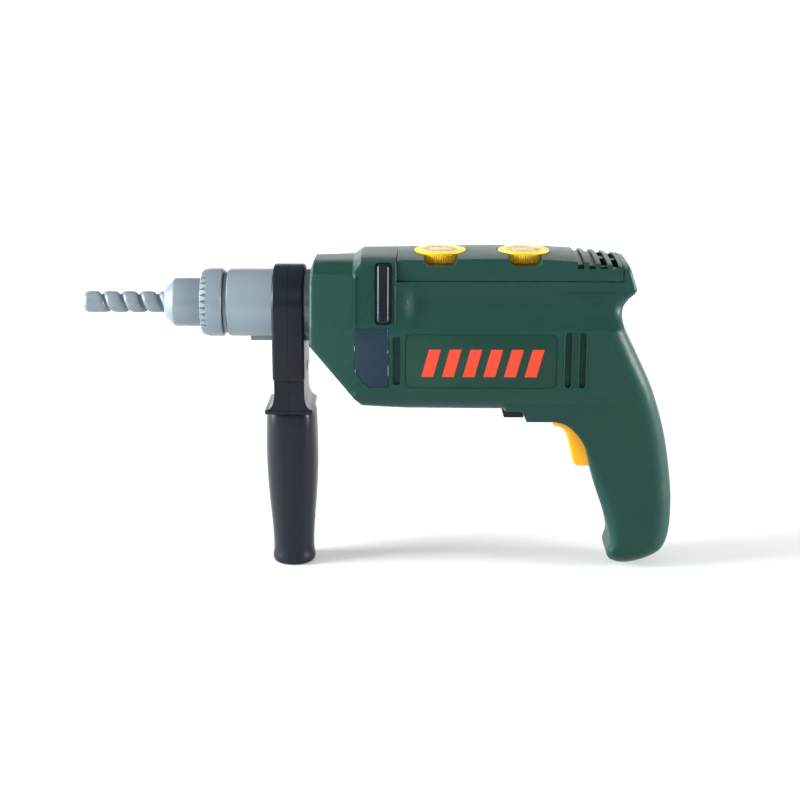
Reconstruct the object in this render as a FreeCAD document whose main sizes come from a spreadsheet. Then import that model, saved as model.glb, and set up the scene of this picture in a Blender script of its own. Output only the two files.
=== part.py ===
import FreeCAD, Part
import Sketcher
import math
import os
import re

# Toy power drill: a hollow two-part housing with a pistol grip, a geared
# spindle with chuck and bit, a clamp-on side handle, two dials, a slide
# switch and a sprung trigger.  Millimetres.  The bit points to -X, +Z is up
# and Y = 0 is the joint between the two housing halves.

V = FreeCAD.Vector
doc = FreeCAD.newDocument("toy_drill")
sheet = doc.addObject("Spreadsheet::Sheet", "Sizes")
cells = {}
nodes = {}


def size(name, number):
    """Write one driving size in the sheet and give the cell its name."""
    row = len(cells) + 1
    sheet.set("A%d" % row, name)
    sheet.set("B%d" % row, str(number))
    sheet.setAlias("B%d" % row, name)
    cells[name] = number


# General fits
size("wall", 2.0)
size("running_gap", 0.05)
size("free_gap", 0.4)
# Spindle, chuck and bit
size("spindle_height", 131.0)
size("shaft_radius", 4.0)
size("bit_radius", 5.2)
size("bit_tip", -143.7)
size("bit_pitch", 8.8)
size("bit_groove", 1.1)
size("nose_radius", 11.7)
size("nose_front", -103.5)
size("nose_taper", 4.9)
size("ring_radius", 16.5)
size("ring_front", -86.5)
size("ring_length", 12.1)
size("crown_teeth", 30)
size("crown_depth", 3.0)
size("chuck_gap", 1.7)
# Neck and its key rib
size("neck_radius", 16.4)
size("neck_wall", 2.6)
size("key_length", 29.3)
size("key_width", 5.0)
size("key_height", 2.2)
# Housing
size("housing_front", -33.0)
size("front_step", -11.0)
size("cover_front", 8.7)
size("cover_rear", 117.0)
size("louvre_width", 2.8)
size("louvre_pitch", 5.4)
size("boss_bottom", 77.2)
size("cover_line", 145.7)
size("crease_height", 155.0)
size("crown_height", 156.9)
size("front_top", 153.0)
size("top_half_width", 22.8)
size("body_half_width", 29.0)
size("shoulder_height", 123.5)
size("panel_bottom", 95.0)
size("belly", 82.0)
size("front_half_width", 21.0)
size("grip_half_width", 16.3)
# Windows, strips, labels and vents in the flat side panels
size("lens_start", -11.2)
size("lens_length", 16.1)
size("lens_bottom", 95.7)
size("lens_height", 27.5)
size("strip_start", -0.9)
size("strip_width", 7.6)
size("strip_bottom", 125.6)
size("strip_height", 27.0)
size("label_start", 11.9)
size("label_length", 72.1)
size("label_bottom", 96.0)
size("label_height", 25.4)
size("trim_thickness", 1.2)
size("vent_width", 3.1)
size("vent_first", 87.9)
size("vent_pitch", 6.5)
# Side handle
size("handle_centre", -43.0)
size("strap_width", 15.4)
size("strap_radius", 18.9)
size("strap_step", 96.0)
size("strap_neck_width", 32.0)
size("flange_height", 80.4)
size("flange_length", 22.4)
size("flange_skin", 0.4)
size("handle_bottom_length", 20.0)
size("handle_mid_length", 25.4)
# Dials
size("dial_radius", 12.3)
size("dial_top", 157.4)
size("dial_thickness", 6.0)
size("front_dial_place", 29.3)
size("rear_dial_place", 69.0)
size("dial_stem_radius", 3.0)
# Gear train
size("gear_module", 0.8)
size("output_teeth", 36)
size("idler_small_teeth", 12)
size("idler_large_teeth", 30)
size("pinion_teeth", 12)
size("gear_start", -7.0)
size("gear_width", 6.0)
size("gear_step", 1.5)
size("plate_thickness", 2.0)
size("front_plate", -12.0)
size("rear_plate", 9.0)
size("axle_radius", 1.5)
# Motor
size("motor_radius", 10.0)
size("motor_flat", 7.6)
size("motor_length", 25.0)
size("motor_shaft_radius", 1.0)
# Trigger and slide switch
size("trigger_width", 14.0)
size("trigger_pin_x", 90.0)
size("trigger_pin_z", 80.0)
size("pin_radius", 1.5)
size("slider_start", 60.2)
size("slider_length", 10.2)
size("slider_width", 12.0)
size("slider_bottom", 76.4)
size("slider_travel", 4.0)
# Batteries, board, speaker and lamp
size("cell_radius", 5.2)
size("cell_length", 43.6)
size("cell_tilt", 9.0)
size("cell_x", 127.0)
size("cell_z", 38.0)
size("board_start", 40.0)
size("board_length", 47.0)
size("board_height", 138.0)
size("speaker_radius", 13.0)
size("speaker_x", 103.0)
size("lamp_radius", 2.5)
# Screws
size("screw_radius", 1.4)
size("screw_head_radius", 2.8)
size("screw_head_height", 1.8)
size("boss_radius", 3.2)
doc.recompute()


def bound(text):
    """Turn the size names in a formula into references to the sheet."""
    def swap(found):
        word = found.group(0)
        return "Sizes." + word if word in cells else word
    return re.sub(r"[a-z][a-z_0-9]*", swap, str(text))


def val(text):
    """The present value of a formula written with size names."""
    return float(sheet.evalExpression(bound(text)))


def place(thing, x, y, z, rotation=None):
    """Bind the position of a primitive to three formulas."""
    if rotation is not None:
        thing.Placement = FreeCAD.Placement(V(0, 0, 0), rotation)
    thing.setExpression("Placement.Base.x", bound(x))
    thing.setExpression("Placement.Base.y", bound(y))
    thing.setExpression("Placement.Base.z", bound(z))
    return thing


TURN = {
    "x": FreeCAD.Rotation(V(0, 1, 0), 90),
    "y": FreeCAD.Rotation(V(1, 0, 0), -90),
    "z": FreeCAD.Rotation(),
}


def block(name, x, y, z, length, width, height):
    """A box with one corner at x, y, z."""
    thing = doc.addObject("Part::Box", name)
    thing.setExpression("Length", bound(length))
    thing.setExpression("Width", bound(width))
    thing.setExpression("Height", bound(height))
    return place(thing, x, y, z)


def rod(name, axis, radius, length, x, y, z):
    """A cylinder starting at x, y, z and running along +axis."""
    thing = doc.addObject("Part::Cylinder", name)
    thing.setExpression("Radius", bound(radius))
    thing.setExpression("Height", bound(length))
    return place(thing, x, y, z, TURN[axis])


def fuse(name, *things):
    """One solid from several."""
    thing = doc.addObject("Part::MultiFuse", name)
    thing.Shapes = list(things)
    return thing


def cut(name, base, *tools):
    """Base with the tools taken out of it."""
    thing = doc.addObject("Part::Cut", name)
    thing.Base = base
    thing.Tool = tools[0] if len(tools) == 1 else fuse(name + "_tools", *tools)
    return thing


def common(name, first, second):
    """What two solids share."""
    thing = doc.addObject("Part::MultiCommon", name)
    thing.Shapes = [first, second]
    return thing


def group(name, things):
    """Several separate solids kept in one node."""
    thing = doc.addObject("Part::Compound", name)
    thing.Links = list(things)
    return thing


def node(name, thing):
    """Name a finished sub-part; the name is also its file name."""
    thing.Label = name
    nodes[name] = thing
    return thing


def solid(name, shape, x=0, y=0, z=0):
    """A sub-part whose shape comes from Part functions, set down at x, y, z."""
    thing = doc.addObject("Part::Feature", name)
    thing.Shape = shape
    thing.Placement = FreeCAD.Placement(V(x, y, z), FreeCAD.Rotation())
    return thing


def origin_plane(body, role):
    """The body's own origin plane with the given role."""
    return [f for f in body.Origin.OriginFeatures if f.Role == role][0]


def outline(sketch, points):
    """Close a polygon whose corners are bound to formulas."""
    spots = [V(val(a), val(b), 0) for a, b in points]
    count = len(spots)
    for i in range(count):
        sketch.addGeometry(Part.LineSegment(spots[i], spots[(i + 1) % count]), False)
    for i in range(count):
        sketch.addConstraint(Sketcher.Constraint("Coincident", i, 2, (i + 1) % count, 1))
    for i, (a, b) in enumerate(points):
        for kind, text in (("DistanceX", a), ("DistanceY", b)):
            number = sketch.addConstraint(Sketcher.Constraint(kind, -1, 1, i, 1, val(text)))
            sketch.setExpression("Constraints[%d]" % number, bound(text))


def sketch_on(body, role, name, offset="0"):
    """A sketch on one of the body's origin planes, moved along its normal."""
    sketch = body.newObject("Sketcher::SketchObject", name)
    sketch.AttachmentSupport = (origin_plane(body, role), [""])
    sketch.MapMode = "FlatFace"
    sketch.setExpression("AttachmentOffset.Base.z", bound(offset))
    return sketch


def prism(name, role, points, offset, depth):
    """A body padded from a polygon along its plane's normal, from the offset."""
    body = doc.addObject("PartDesign::Body", name)
    sketch = sketch_on(body, role, name + "_outline", offset)
    outline(sketch, points)
    pad = body.newObject("PartDesign::Pad", name + "_pad")
    pad.Profile = sketch
    pad.setExpression("Length", bound(depth))
    return body


def turned(name, points, height):
    """A body turned about the X direction line at the given height."""
    body = doc.addObject("PartDesign::Body", name)
    place(body, "0", "0", height)
    sketch = sketch_on(body, "XZ_Plane", name + "_outline")
    outline(sketch, points)
    turn = body.newObject("PartDesign::Revolution", name + "_turn")
    turn.Profile = sketch
    turn.ReferenceAxis = (sketch, ["H_Axis"])
    turn.Angle = 360
    return body


# ---------------------------------------------------------------- gears
def involute_shape(teeth, width, bore, phase):
    """Spur gear about X from x = 0: 25 degree teeth, short addendum."""
    module = cells["gear_module"]
    pressure = math.radians(25)
    pitch = teeth * module / 2
    base = pitch * math.cos(pressure)
    tip = pitch + 0.8 * module
    root = pitch - 1.1 * module
    backlash = 0.15
    half = (math.pi * module - backlash) / 4 / pitch
    spread = math.tan(pressure) - pressure
    radii = [root] + [max(base, root) + (tip - max(base, root)) * k / 4 for k in range(5)]

    def half_angle(radius):
        turn = math.acos(min(1, base / radius))
        return half + spread - (math.tan(turn) - turn)

    points = []
    for tooth in range(teeth):
        middle = 2 * math.pi * tooth / teeth + math.radians(phase)
        left = [(r, middle - half_angle(r)) for r in radii]
        right = [(r, middle + half_angle(r)) for r in reversed(radii)]
        points += [V(0, r * math.cos(a), r * math.sin(a)) for r, a in left + right]
    wheel = Part.Face(Part.makePolygon(points + points[:1])).extrude(V(width, 0, 0))
    return wheel.cut(Part.makeCylinder(bore, width, V(0, 0, 0), V(1, 0, 0)))


idler_height = "spindle_height - gear_module * (output_teeth + idler_small_teeth) / 2"
motor_height = idler_height + " - gear_module * (idler_large_teeth + pinion_teeth) / 2"
large_start = "gear_start + gear_width + gear_step"


def gears():
    """Output wheel, stepped idler and motor pinion."""
    wide = cells["gear_width"]
    out = involute_shape(cells["output_teeth"], wide, cells["shaft_radius"], 0)
    node("output_gear", solid("output_gear", out, cells["gear_start"], 0,
                              cells["spindle_height"]))
    bore = cells["axle_radius"] + cells["running_gap"]
    small = involute_shape(cells["idler_small_teeth"], wide + cells["gear_step"], bore, 15)
    large = involute_shape(cells["idler_large_teeth"], wide, bore, 6)
    large.translate(V(wide + cells["gear_step"], 0, 0))
    node("idler_gear", solid("idler_gear", small.fuse(large), cells["gear_start"], 0,
                             val(idler_height)))
    pinion = involute_shape(cells["pinion_teeth"], wide, cells["motor_shaft_radius"], 15)
    node("motor_pinion", solid("motor_pinion", pinion, val(large_start), 0,
                               val(motor_height)))


# ------------------------------------------------------- spindle and chuck
def drill_bit():
    """Blunt moulded bit with one spiral flute and a plain shank."""
    start = val("bit_tip")
    radius = cells["bit_radius"]
    shank_end = "nose_front - bit_tip + 6"
    blank = turned("bit_blank", [
        ("bit_tip", "0"),
        ("bit_tip", "bit_radius * 0.45"),
        ("bit_tip + 1.2", "bit_radius * 0.86"),
        ("bit_tip + 3", "bit_radius"),
        ("nose_front", "bit_radius"),
        ("nose_front", "bit_radius * 0.8"),
        ("bit_tip + " + shank_end, "bit_radius * 0.8"),
        ("bit_tip + " + shank_end, "0"),
    ], "spindle_height")
    doc.recompute()
    flute = 2.6
    reach = radius + flute - cells["bit_groove"]
    spiral = Part.makeLongHelix(cells["bit_pitch"], cells["nose_front"] - start - 9, reach)
    ring = Part.Wire([Part.makeCircle(flute, V(reach, 0, 0), V(0, 1, 0))])
    groove = Part.Wire(spiral.Edges).makePipeShell([ring], True, True)
    groove.rotate(V(0, 0, 0), V(0, 1, 0), 90)
    groove.translate(V(start + 5, 0, cells["spindle_height"]))
    thing = solid("drill_bit", blank.Shape.cut(groove))
    node("drill_bit", thing)


def chuck():
    """Nose cone, toothed crown ring and the shaft they sit on."""
    ring_end = "ring_front + ring_length"
    node("chuck_nose", turned("chuck_nose", [
        ("nose_front", "bit_radius * 0.8"),
        ("nose_front", "bit_radius + 0.8"),
        ("nose_front + nose_taper", "nose_radius"),
        ("ring_front + 1", "nose_radius"),
        ("ring_front + 1", "shaft_radius"),
        ("nose_front + 8", "shaft_radius"),
        ("nose_front + 8", "bit_radius * 0.8"),
    ], "spindle_height"))
    body = turned("chuck_ring", [
        ("ring_front", "nose_radius"),
        ("ring_front", "ring_radius"),
        (ring_end, "ring_radius"),
        (ring_end, "shaft_radius"),
        ("ring_front + 1", "shaft_radius"),
        ("ring_front + 1", "nose_radius"),
    ], "spindle_height")
    sketch = sketch_on(body, "XY_Plane", "crown_notch", "0")
    outline(sketch, [
        ("ring_front - 1", "-1.1"),
        ("ring_front - 1", "1.1"),
        ("ring_front + crown_depth", "0.5"),
        ("ring_front + crown_depth", "-0.5"),
    ])
    notch = body.newObject("PartDesign::Pocket", "crown_cut")
    notch.Profile = sketch
    notch.setExpression("Length", bound("ring_radius + 1"))
    notch.Reversed = True
    sketch.setExpression("AttachmentOffset.Base.z", bound("ring_radius - 2"))
    teeth = body.newObject("PartDesign::PolarPattern", "crown_pattern")
    teeth.Originals = [notch]
    teeth.Axis = (sketch, ["H_Axis"])
    axis = [f for f in body.Origin.OriginFeatures if f.Role == "X_Axis"][0]
    teeth.Axis = (axis, [""])
    teeth.Angle = 360
    teeth.setExpression("Occurrences", bound("crown_teeth"))
    body.Tip = teeth
    node("chuck_ring", body)
    node("spindle_shaft", rod("spindle_shaft", "x", "shaft_radius",
                              "rear_plate + plate_thickness + 2 - (nose_front + 8)",
                              "nose_front + 8", "0", "spindle_height"))
    neck_start = ring_end + " + chuck_gap"
    flat = cut("front_bush_body",
               rod("front_bush_outer", "x", "neck_radius - neck_wall", "8",
                   neck_start + " + 1", "0", "spindle_height"),
               rod("front_bush_bore", "x", "shaft_radius + running_gap", "8",
                   neck_start + " + 1", "0", "spindle_height"))
    node("front_bush", flat)


def neck():
    """Fixed tube behind the chuck; a key rib below it stops the side handle."""
    start = "ring_front + ring_length + chuck_gap"
    length = "housing_front + 9.6 - (" + start + ")"
    tube = cut("neck_tube",
               rod("neck_outer", "x", "neck_radius", length, start, "0", "spindle_height"),
               rod("neck_bore", "x", "neck_radius - neck_wall", length, start, "0",
                   "spindle_height"))
    rib = block("neck_key", "housing_front - key_length", "-key_width / 2",
                "spindle_height - neck_radius - key_height", "key_length", "key_width",
                "key_height + neck_wall / 2")
    collar = cut("neck_collar",
                 rod("collar_outer", "x", "neck_radius + 2", "3", "housing_front + 6", "0",
                     "spindle_height"),
                 rod("collar_bore", "x", "neck_radius - neck_wall", "3", "housing_front + 6",
                     "0", "spindle_height"))
    node("neck_sleeve", fuse("neck_sleeve", tube, rib, collar))


# ------------------------------------------------------------ housing form
def polygon_face(points):
    """A flat face from corner points."""
    return Part.Face(Part.makePolygon(points + points[:1]))


def body_section(x, inset, coved):
    """Cross-section of the body at x: crowned top, side, panel and belly."""
    top = cells["crown_height"] - inset
    crease = cells["crease_height"] - inset
    narrow = cells["top_half_width"] - inset
    shoulder = cells["body_half_width"] - inset
    mid_z = cells["shoulder_height"]
    panel = cells["panel_bottom"]
    belly = cells["belly"] + inset
    edges = []

    def line(a, b):
        edges.append(Part.LineSegment(a, b).toShape())

    def curve(a, b, c):
        edges.append(Part.Arc(a, b, c).toShape())

    for side in (1, -1):
        def p(y, z):
            return V(x, side * y, z)
        curve(p(0, top), p(narrow * 0.52, crease + (top - crease) * 0.73), p(narrow, crease))
        if coved:
            line(p(narrow, crease), p(narrow + 0.4, mid_z + 18))
            curve(p(narrow + 0.4, mid_z + 18), p(narrow + 1.7, mid_z + 8), p(shoulder, mid_z))
        else:
            line(p(narrow, crease), p(shoulder, mid_z))
        line(p(shoulder, mid_z), p(shoulder - 0.3, panel))
        curve(p(shoulder - 0.3, panel), p(shoulder - 2.6, panel - 6.6),
              p(shoulder - 8.5, belly + 1))
        line(p(shoulder - 8.5, belly + 1), p(0, belly))
    return Part.Face(Part.Wire(Part.sortEdges(edges)[0]))


def side_view(inset):
    """Outline of the body seen from the side, drawn inset by the wall."""
    def p(x, z):
        return V(x, 0, z)
    front = cells["housing_front"] + inset
    top = cells["front_top"] - inset
    crown = cells["crown_height"] - inset
    low = cells["belly"] + inset
    step = cells["front_step"]
    slope = inset * 0.7
    straight = [
        p(134 - inset, low), p(-7 + slope, low + 2.2),
        p(front, 114.3 + slope), p(front + 0.8, top - 3.4), p(front + 3.5 + slope, top),
        p(step - 0.8, top), p(step + 2.6, crown - 0.6), p(60, crown), p(90, crown - 1.3),
        p(119 - inset, crown - 4.4), p(122.8 - inset, 139),
    ]
    rear = Part.BSplineCurve()
    rear.interpolate([p(122.8 - inset, 139), p(117.3 - inset, 124.7),
                      p(123.1 - inset, 109.9), p(134 - inset, low)])
    lines = [Part.LineSegment(a, b).toShape() for a, b in zip(straight, straight[1:])]
    return Part.Face(Part.Wire(lines + [rear.toShape()]))


def slab(x0, x1, z0, z1):
    """A block much wider than the drill between two x and two z."""
    return Part.makeBox(x1 - x0, 120, z1 - z0, V(x0, -60, z0))


def front_form(inset):
    """Tapered front of the body between its face and the first step."""
    faces = []
    for x, half in ((cells["housing_front"], cells["front_half_width"]),
                    (cells["front_step"] + inset, cells["body_half_width"] - 2.5)):
        wide = half - inset
        top = cells["front_top"] - inset
        low = cells["belly"]
        faces.append(Part.makePolygon([
            V(x, -wide + 3, top), V(x, wide - 3, top), V(x, wide, top - 4),
            V(x, wide, low + 8), V(x, wide - 7, low), V(x, 7 - wide, low),
            V(x, -wide, low + 8), V(x, -wide, top - 4), V(x, -wide + 3, top)]))
    return Part.makeLoft(faces, True, True)


def grip_form(inset):
    """Pistol grip: rounded sections from the foot up into the body."""
    half = cells["grip_half_width"]
    rows = [
        (-2 + inset, 110.0, 141.6, half + 0.6),
        (16, 111.6, 143.6, half),
        (30, 108.6, 143.8, half - 0.2),
        (45, 104.1, 142.6, half),
        (60, 99.8, 140.1, half + 1.6),
        (76, 86.0, 135.7, half + 4.6),
        (90, 78.0, 131.0, half + 8.4),
        (104, 74.0, 125.2, half + 11.2),
    ]
    wires = []
    for z, x0, x1, wide in rows:
        x0 += inset
        x1 -= inset
        wide -= inset
        a = 8.0
        b = 11.0
        edges = []

        def line(p, q):
            edges.append(Part.LineSegment(V(p[0], p[1], z), V(q[0], q[1], z)).toShape())

        def corner(p, m, q):
            edges.append(Part.Arc(V(p[0], p[1], z), V(m[0], m[1], z),
                                  V(q[0], q[1], z)).toShape())

        k = 1 - math.sqrt(0.5)
        line((x0 + a, -wide), (x1 - b, -wide))
        corner((x1 - b, -wide), (x1 - b * k, -wide + b * k), (x1, -wide + b))
        line((x1, -wide + b), (x1, wide - b))
        corner((x1, wide - b), (x1 - b * k, wide - b * k), (x1 - b, wide))
        line((x1 - b, wide), (x0 + a, wide))
        corner((x0 + a, wide), (x0 + a * k, wide - a * k), (x0, wide - a))
        line((x0, wide - a), (x0, -wide + a))
        corner((x0, -wide + a), (x0 + a * k, -wide + a * k), (x0 + a, -wide))
        wires.append(Part.Wire(edges))
    loft = Part.makeLoft(wires, True, False)

    def p(x, z):
        return V(x, 0, z)
    heel = Part.BSplineCurve()
    heel.interpolate([p(124, inset), p(133 - inset / 2, 2.6 + inset),
                      p(141.6 - inset, 10 + inset / 2), p(146, 24)])
    toe = Part.BSplineCurve()
    toe.interpolate([p(110, 14), p(111.3 + inset, 8.5), p(113.2 + inset, 3.4 + inset / 2),
                     p(118 + inset / 2, inset)])
    edges = [toe.toShape(), Part.LineSegment(p(118 + inset / 2, inset), p(124, inset)).toShape(),
             heel.toShape()]
    corners = [p(146, 24), p(146, 110), p(70, 110), p(70, 14), p(110, 14)]
    edges += [Part.LineSegment(a, b).toShape() for a, b in zip(corners, corners[1:])]
    foot = Part.Face(Part.Wire(edges)).extrude(V(0, 100, 0))
    foot.translate(V(0, -50, 0))
    boss = cells["boss_bottom"] + inset
    hollow_curve = Part.BSplineCurve()
    hollow_curve.interpolate([p(85 - inset / 2, boss), p(91 + inset / 2, 73 + inset),
                              p(96.5 + inset, 68 + inset / 2), p(100.2 + inset, 60),
                              p(102.6 + inset, 51)])
    rim = [p(102.6 + inset, 51), p(60, 51), p(60, 90), p(71.2 + inset, 90),
           p(71.2 + inset, boss), p(85 - inset / 2, boss)]
    edges = [hollow_curve.toShape()]
    edges += [Part.LineSegment(a, b).toShape() for a, b in zip(rim, rim[1:])]
    hollow = Part.Face(Part.Wire(edges)).extrude(V(0, 100, 0))
    hollow.translate(V(0, -50, 0))
    return loft.common(foot).cut(hollow)


def drill_form(inset):
    """Whole closed shape of housing and cover, inset by the wall."""
    step = cells["front_step"]
    seam = cells["cover_front"]
    view = side_view(inset).extrude(V(0, 120, 0))
    view.translate(V(0, -60, 0))
    middle = body_section(step + inset, inset, False).extrude(V(seam - step - 2 * inset, 0, 0))
    rear_start = seam - inset
    if inset:
        rear_start -= 1
    rear = body_section(rear_start, inset, True).extrude(V(150 - rear_start, 0, 0))
    edge = Part.makeBox(200, 2 * cells["body_half_width"] - 2 * inset, 160,
                        V(-76.7 - inset, inset - cells["body_half_width"], 0))
    corner = [e for e in edge.Edges
              if abs(e.BoundBox.ZLength - 160) < 1 and e.BoundBox.XMin > 100]
    edge = edge.makeFillet(9, corner)
    front = front_form(inset)
    body = front.fuse([middle, rear]).common(view).common(edge)
    return body.fuse(grip_form(inset)).removeSplitter()


def boss_spots():
    """Screw places in side view, as x and z."""
    return [(-18, 146.4), (-18, 112), (52, 92), (72, 126), (108, 131), (128, 82),
            (126, 7.4)]


def long_rod(x, z, radius, y0, y1):
    """A rod across the drill between two y."""
    return Part.makeCylinder(radius, y1 - y0, V(x, y0, z), V(0, 1, 0))


def side_slot(x, width, z0, z1, depth, side):
    """Round-ended slot tool cut into one side panel."""
    half = cells["body_half_width"]
    y = half - depth if side > 0 else -half - 1
    tool = Part.makeBox(width, depth + 1, z1 - z0 - width, V(x, y, z0 + width / 2))
    for z in (z0 + width / 2, z1 - width / 2):
        tool = tool.fuse(Part.makeCylinder(width / 2, depth + 1, V(x + width / 2, y, z),
                                           V(0, 1, 0)))
    return tool


def housing():
    """Both housing halves and the top cover, cut from one hollow form."""
    wall = cells["wall"]
    gap = cells["free_gap"]
    spin = cells["spindle_height"]
    line = cells["cover_line"]
    seam = cells["cover_front"]
    rear = cells["cover_rear"]
    outer = drill_form(0)
    inner = drill_form(wall)
    cover_zone = slab(seam, rear, line, 170)
    cover_room = slab(seam + wall, rear - wall, line - 1, 170)
    low_room = slab(-60, 160, -5, line).fuse(slab(-60, seam - wall, -5, 170))

    # The body cavity, kept apart from the cover's own cavity
    cavity = inner.common(low_room.fuse(slab(rear + wall, 160, line - 1, 170)))
    shell = outer.cut(cover_zone).cut(cavity)

    # Ribs that hold the gear plates, motor, speaker and board
    ribs = []
    front_plate = cells["front_plate"]
    rear_plate = cells["rear_plate"]
    thick = cells["plate_thickness"]
    for x in (front_plate - 1.5, front_plate + thick, rear_plate - 1.5, rear_plate + thick):
        web = inner.common(slab(x, x + 1.5, 80, line - 1))
        ribs.append(web.cut(Part.makeBox(10, 2 * (cells["top_half_width"] - 5), 100,
                                         V(x - 4, 5 - cells["top_half_width"], 87))))
    motor = val(motor_height)
    saddle = inner.common(slab(28, 30, 80, motor)).cut(
        Part.makeCylinder(cells["motor_radius"], 10, V(24, 0, motor), V(1, 0, 0)))
    ribs.append(saddle)
    board = cells["board_height"]
    for x in (cells["board_start"] + 3, cells["board_start"] + cells["board_length"] - 5):
        ribs.append(inner.common(slab(x, x + 2, board - 4, board)))
    shelf_z = line - 4
    for x in (cells["speaker_x"] - 14, cells["speaker_x"] + 12):
        ribs.append(inner.common(slab(x, x + 2, shelf_z - 3, shelf_z)))
    for x in (110, 114.5):
        ribs.append(inner.common(slab(x, x + 2, 62, 66)))
    shell = shell.fuse(ribs)

    # Screw bosses: solid towards the left, open sockets towards the right
    bosses = []
    for x, z in boss_spots():
        stub = long_rod(x, z, cells["boss_radius"] + 1.6, -40, 40).common(outer)
        bosses.append(stub)
    shell = shell.fuse(bosses)
    for x, z in boss_spots():
        shell = shell.cut(long_rod(x, z, cells["screw_radius"] + cells["running_gap"], -12.5, 7))
        shell = shell.cut(long_rod(x, z, cells["screw_head_radius"] + 0.3, 6, 60))

    # Neck seat in the front face, spindle room and collar groove
    neck_r = cells["neck_radius"]
    face = cells["housing_front"]
    slack = cells["running_gap"]
    ring = Part.makeCylinder(neck_r + 4, 9, V(face + 3, 0, spin), V(1, 0, 0)).common(outer)
    ring = ring.cut(Part.makeCylinder(neck_r + 2 + slack, 3 + 2 * slack,
                                      V(face + 6 - slack, 0, spin), V(1, 0, 0)))
    shell = shell.fuse(ring)
    shell = shell.cut(Part.makeCylinder(neck_r + slack, 18, V(face - 5, 0, spin), V(1, 0, 0)))

    # Side panels: window, strip, label and vent cuts
    trim = cells["trim_thickness"]
    half = cells["body_half_width"]
    for side in (1, -1):
        for x, length, z0, height, depth in (
                (cells["label_start"], cells["label_length"], cells["label_bottom"],
                 cells["label_height"], trim),):
            y = half - depth if side > 0 else -half - 1
            shell = shell.cut(Part.makeBox(length, depth + 1, height, V(x, y, z0)))
        lens = lens_blank(side)
        shell = shell.cut(lens)
        inside = Part.makeBox(8, 12, 16, V(-7.2, side * 24 - 6, 102))
        shell = shell.cut(inside)
        shell = shell.cut(strip_blank(side))
        shell = shell.cut(side_slot(cells["label_start"] - 4.3, 2.8, 99.4, 122, 1.0, side))
        for k in range(2):
            x = cells["vent_first"] + k * cells["vent_pitch"]
            shell = shell.cut(side_slot(x, cells["vent_width"], 96, 122.5, wall + 2, side))

    # Trigger slot with room for its swing, slide switch slot, battery door
    room = val("trigger_width") / 2 + gap
    path = trigger_room()
    shell = shell.cut(path.extrude(V(0, 2 * room, 0)).translated(V(0, -room, 0)))
    slide = cells["slider_width"] / 2 + gap
    shell = shell.cut(Part.makeBox(cells["slider_length"] + cells["slider_travel"] + gap, 2 * slide,
                                   14, V(cells["slider_start"] - cells["slider_travel"] - gap,
                                         -slide, cells["slider_bottom"] - 4)))
    # Pin holes
    pin = long_rod(cells["trigger_pin_x"], cells["trigger_pin_z"], cells["pin_radius"], -12, 12)
    lugs = long_rod(cells["trigger_pin_x"], cells["trigger_pin_z"], 4, -30, 30).common(outer)
    lugs = lugs.cut(long_rod(cells["trigger_pin_x"], cells["trigger_pin_z"], 5, -room, room))
    shell = shell.fuse(lugs).cut(pin)
    door = door_blank(0)
    shell = shell.cut(door)
    shell = shell.cut(cell_room())

    left = shell.common(Part.makeBox(400, 60, 260, V(-200, -60, -20)))
    right = shell.common(Part.makeBox(400, 60, 260, V(-200, 0, -20)))
    node("left_housing", solid("left_housing", biggest(left)))
    node("right_housing", solid("right_housing", biggest(right)))

    # Cover: top skin, pockets for the dials, louvres and tabs
    lid = outer.common(cover_zone)
    lid = lid.cut(inner.common(cover_room))
    top = cells["crown_height"]
    floor = cells["dial_top"] - cells["dial_thickness"] - gap
    radius = cells["dial_radius"] + gap
    for x in (cells["front_dial_place"], cells["rear_dial_place"]):
        cup = Part.makeCylinder(radius + 1.6, floor + 4 - line, V(x, 0, line))
        cup = cup.fuse(Part.makeCylinder(radius + 1.6, top - line, V(x, 0, line)))
        lid = lid.fuse(cup.common(outer))
        lid = lid.cut(Part.makeCylinder(radius, 20, V(x, 0, floor)))
        lid = lid.cut(Part.makeCylinder(radius, floor - 2 - line + 5, V(x, 0, line - 5)))
        lid = lid.cut(Part.makeCylinder(cells["dial_stem_radius"] + cells["running_gap"], 20,
                                        V(x, 0, line - 5)))
        notch = 7.5
        lid = lid.cut(Part.makeBox(2 * notch, 80, 20, V(x - notch, -40, floor + 1.6)))
    for k in range(4):
        x = rear - 22 + cells["louvre_pitch"] * k
        lid = lid.cut(Part.makeBox(cells["louvre_width"], 30, 12, V(x, -15, line + 4)))
    tabs = []
    for x in (16, 50, 86):
        for side in (1, -1):
            y = side * (cells["top_half_width"] - wall - 0.9) - 0.8
            tabs.append(Part.makeBox(6, 1.6, 9, V(x, y, line - 4)))
    lid = lid.fuse(tabs)
    node("top_cover", solid("top_cover", biggest(lid)))


def biggest(shape):
    """The largest solid of a result, leaving offcuts behind."""
    return max(shape.Solids, key=lambda s: s.Volume)


# -------------------------------------------------- windows, strips, labels
def lens_points():
    """Window outline with its lower front corner cut off, as x and z."""
    x0 = cells["lens_start"]
    x1 = x0 + cells["lens_length"]
    z0 = cells["lens_bottom"]
    z1 = z0 + cells["lens_height"]
    return [(x0, z0 + 8), (x0, z1), (x1, z1), (x1, z0), (x0 + 6, z0)]


def lens_blank(side):
    """The window as a prism standing in the side panel."""
    half = cells["body_half_width"]
    y = half - cells["trim_thickness"] if side > 0 else -half
    face = polygon_face([V(x, y, z) for x, z in lens_points()])
    return face.extrude(V(0, cells["trim_thickness"], 0))


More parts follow.
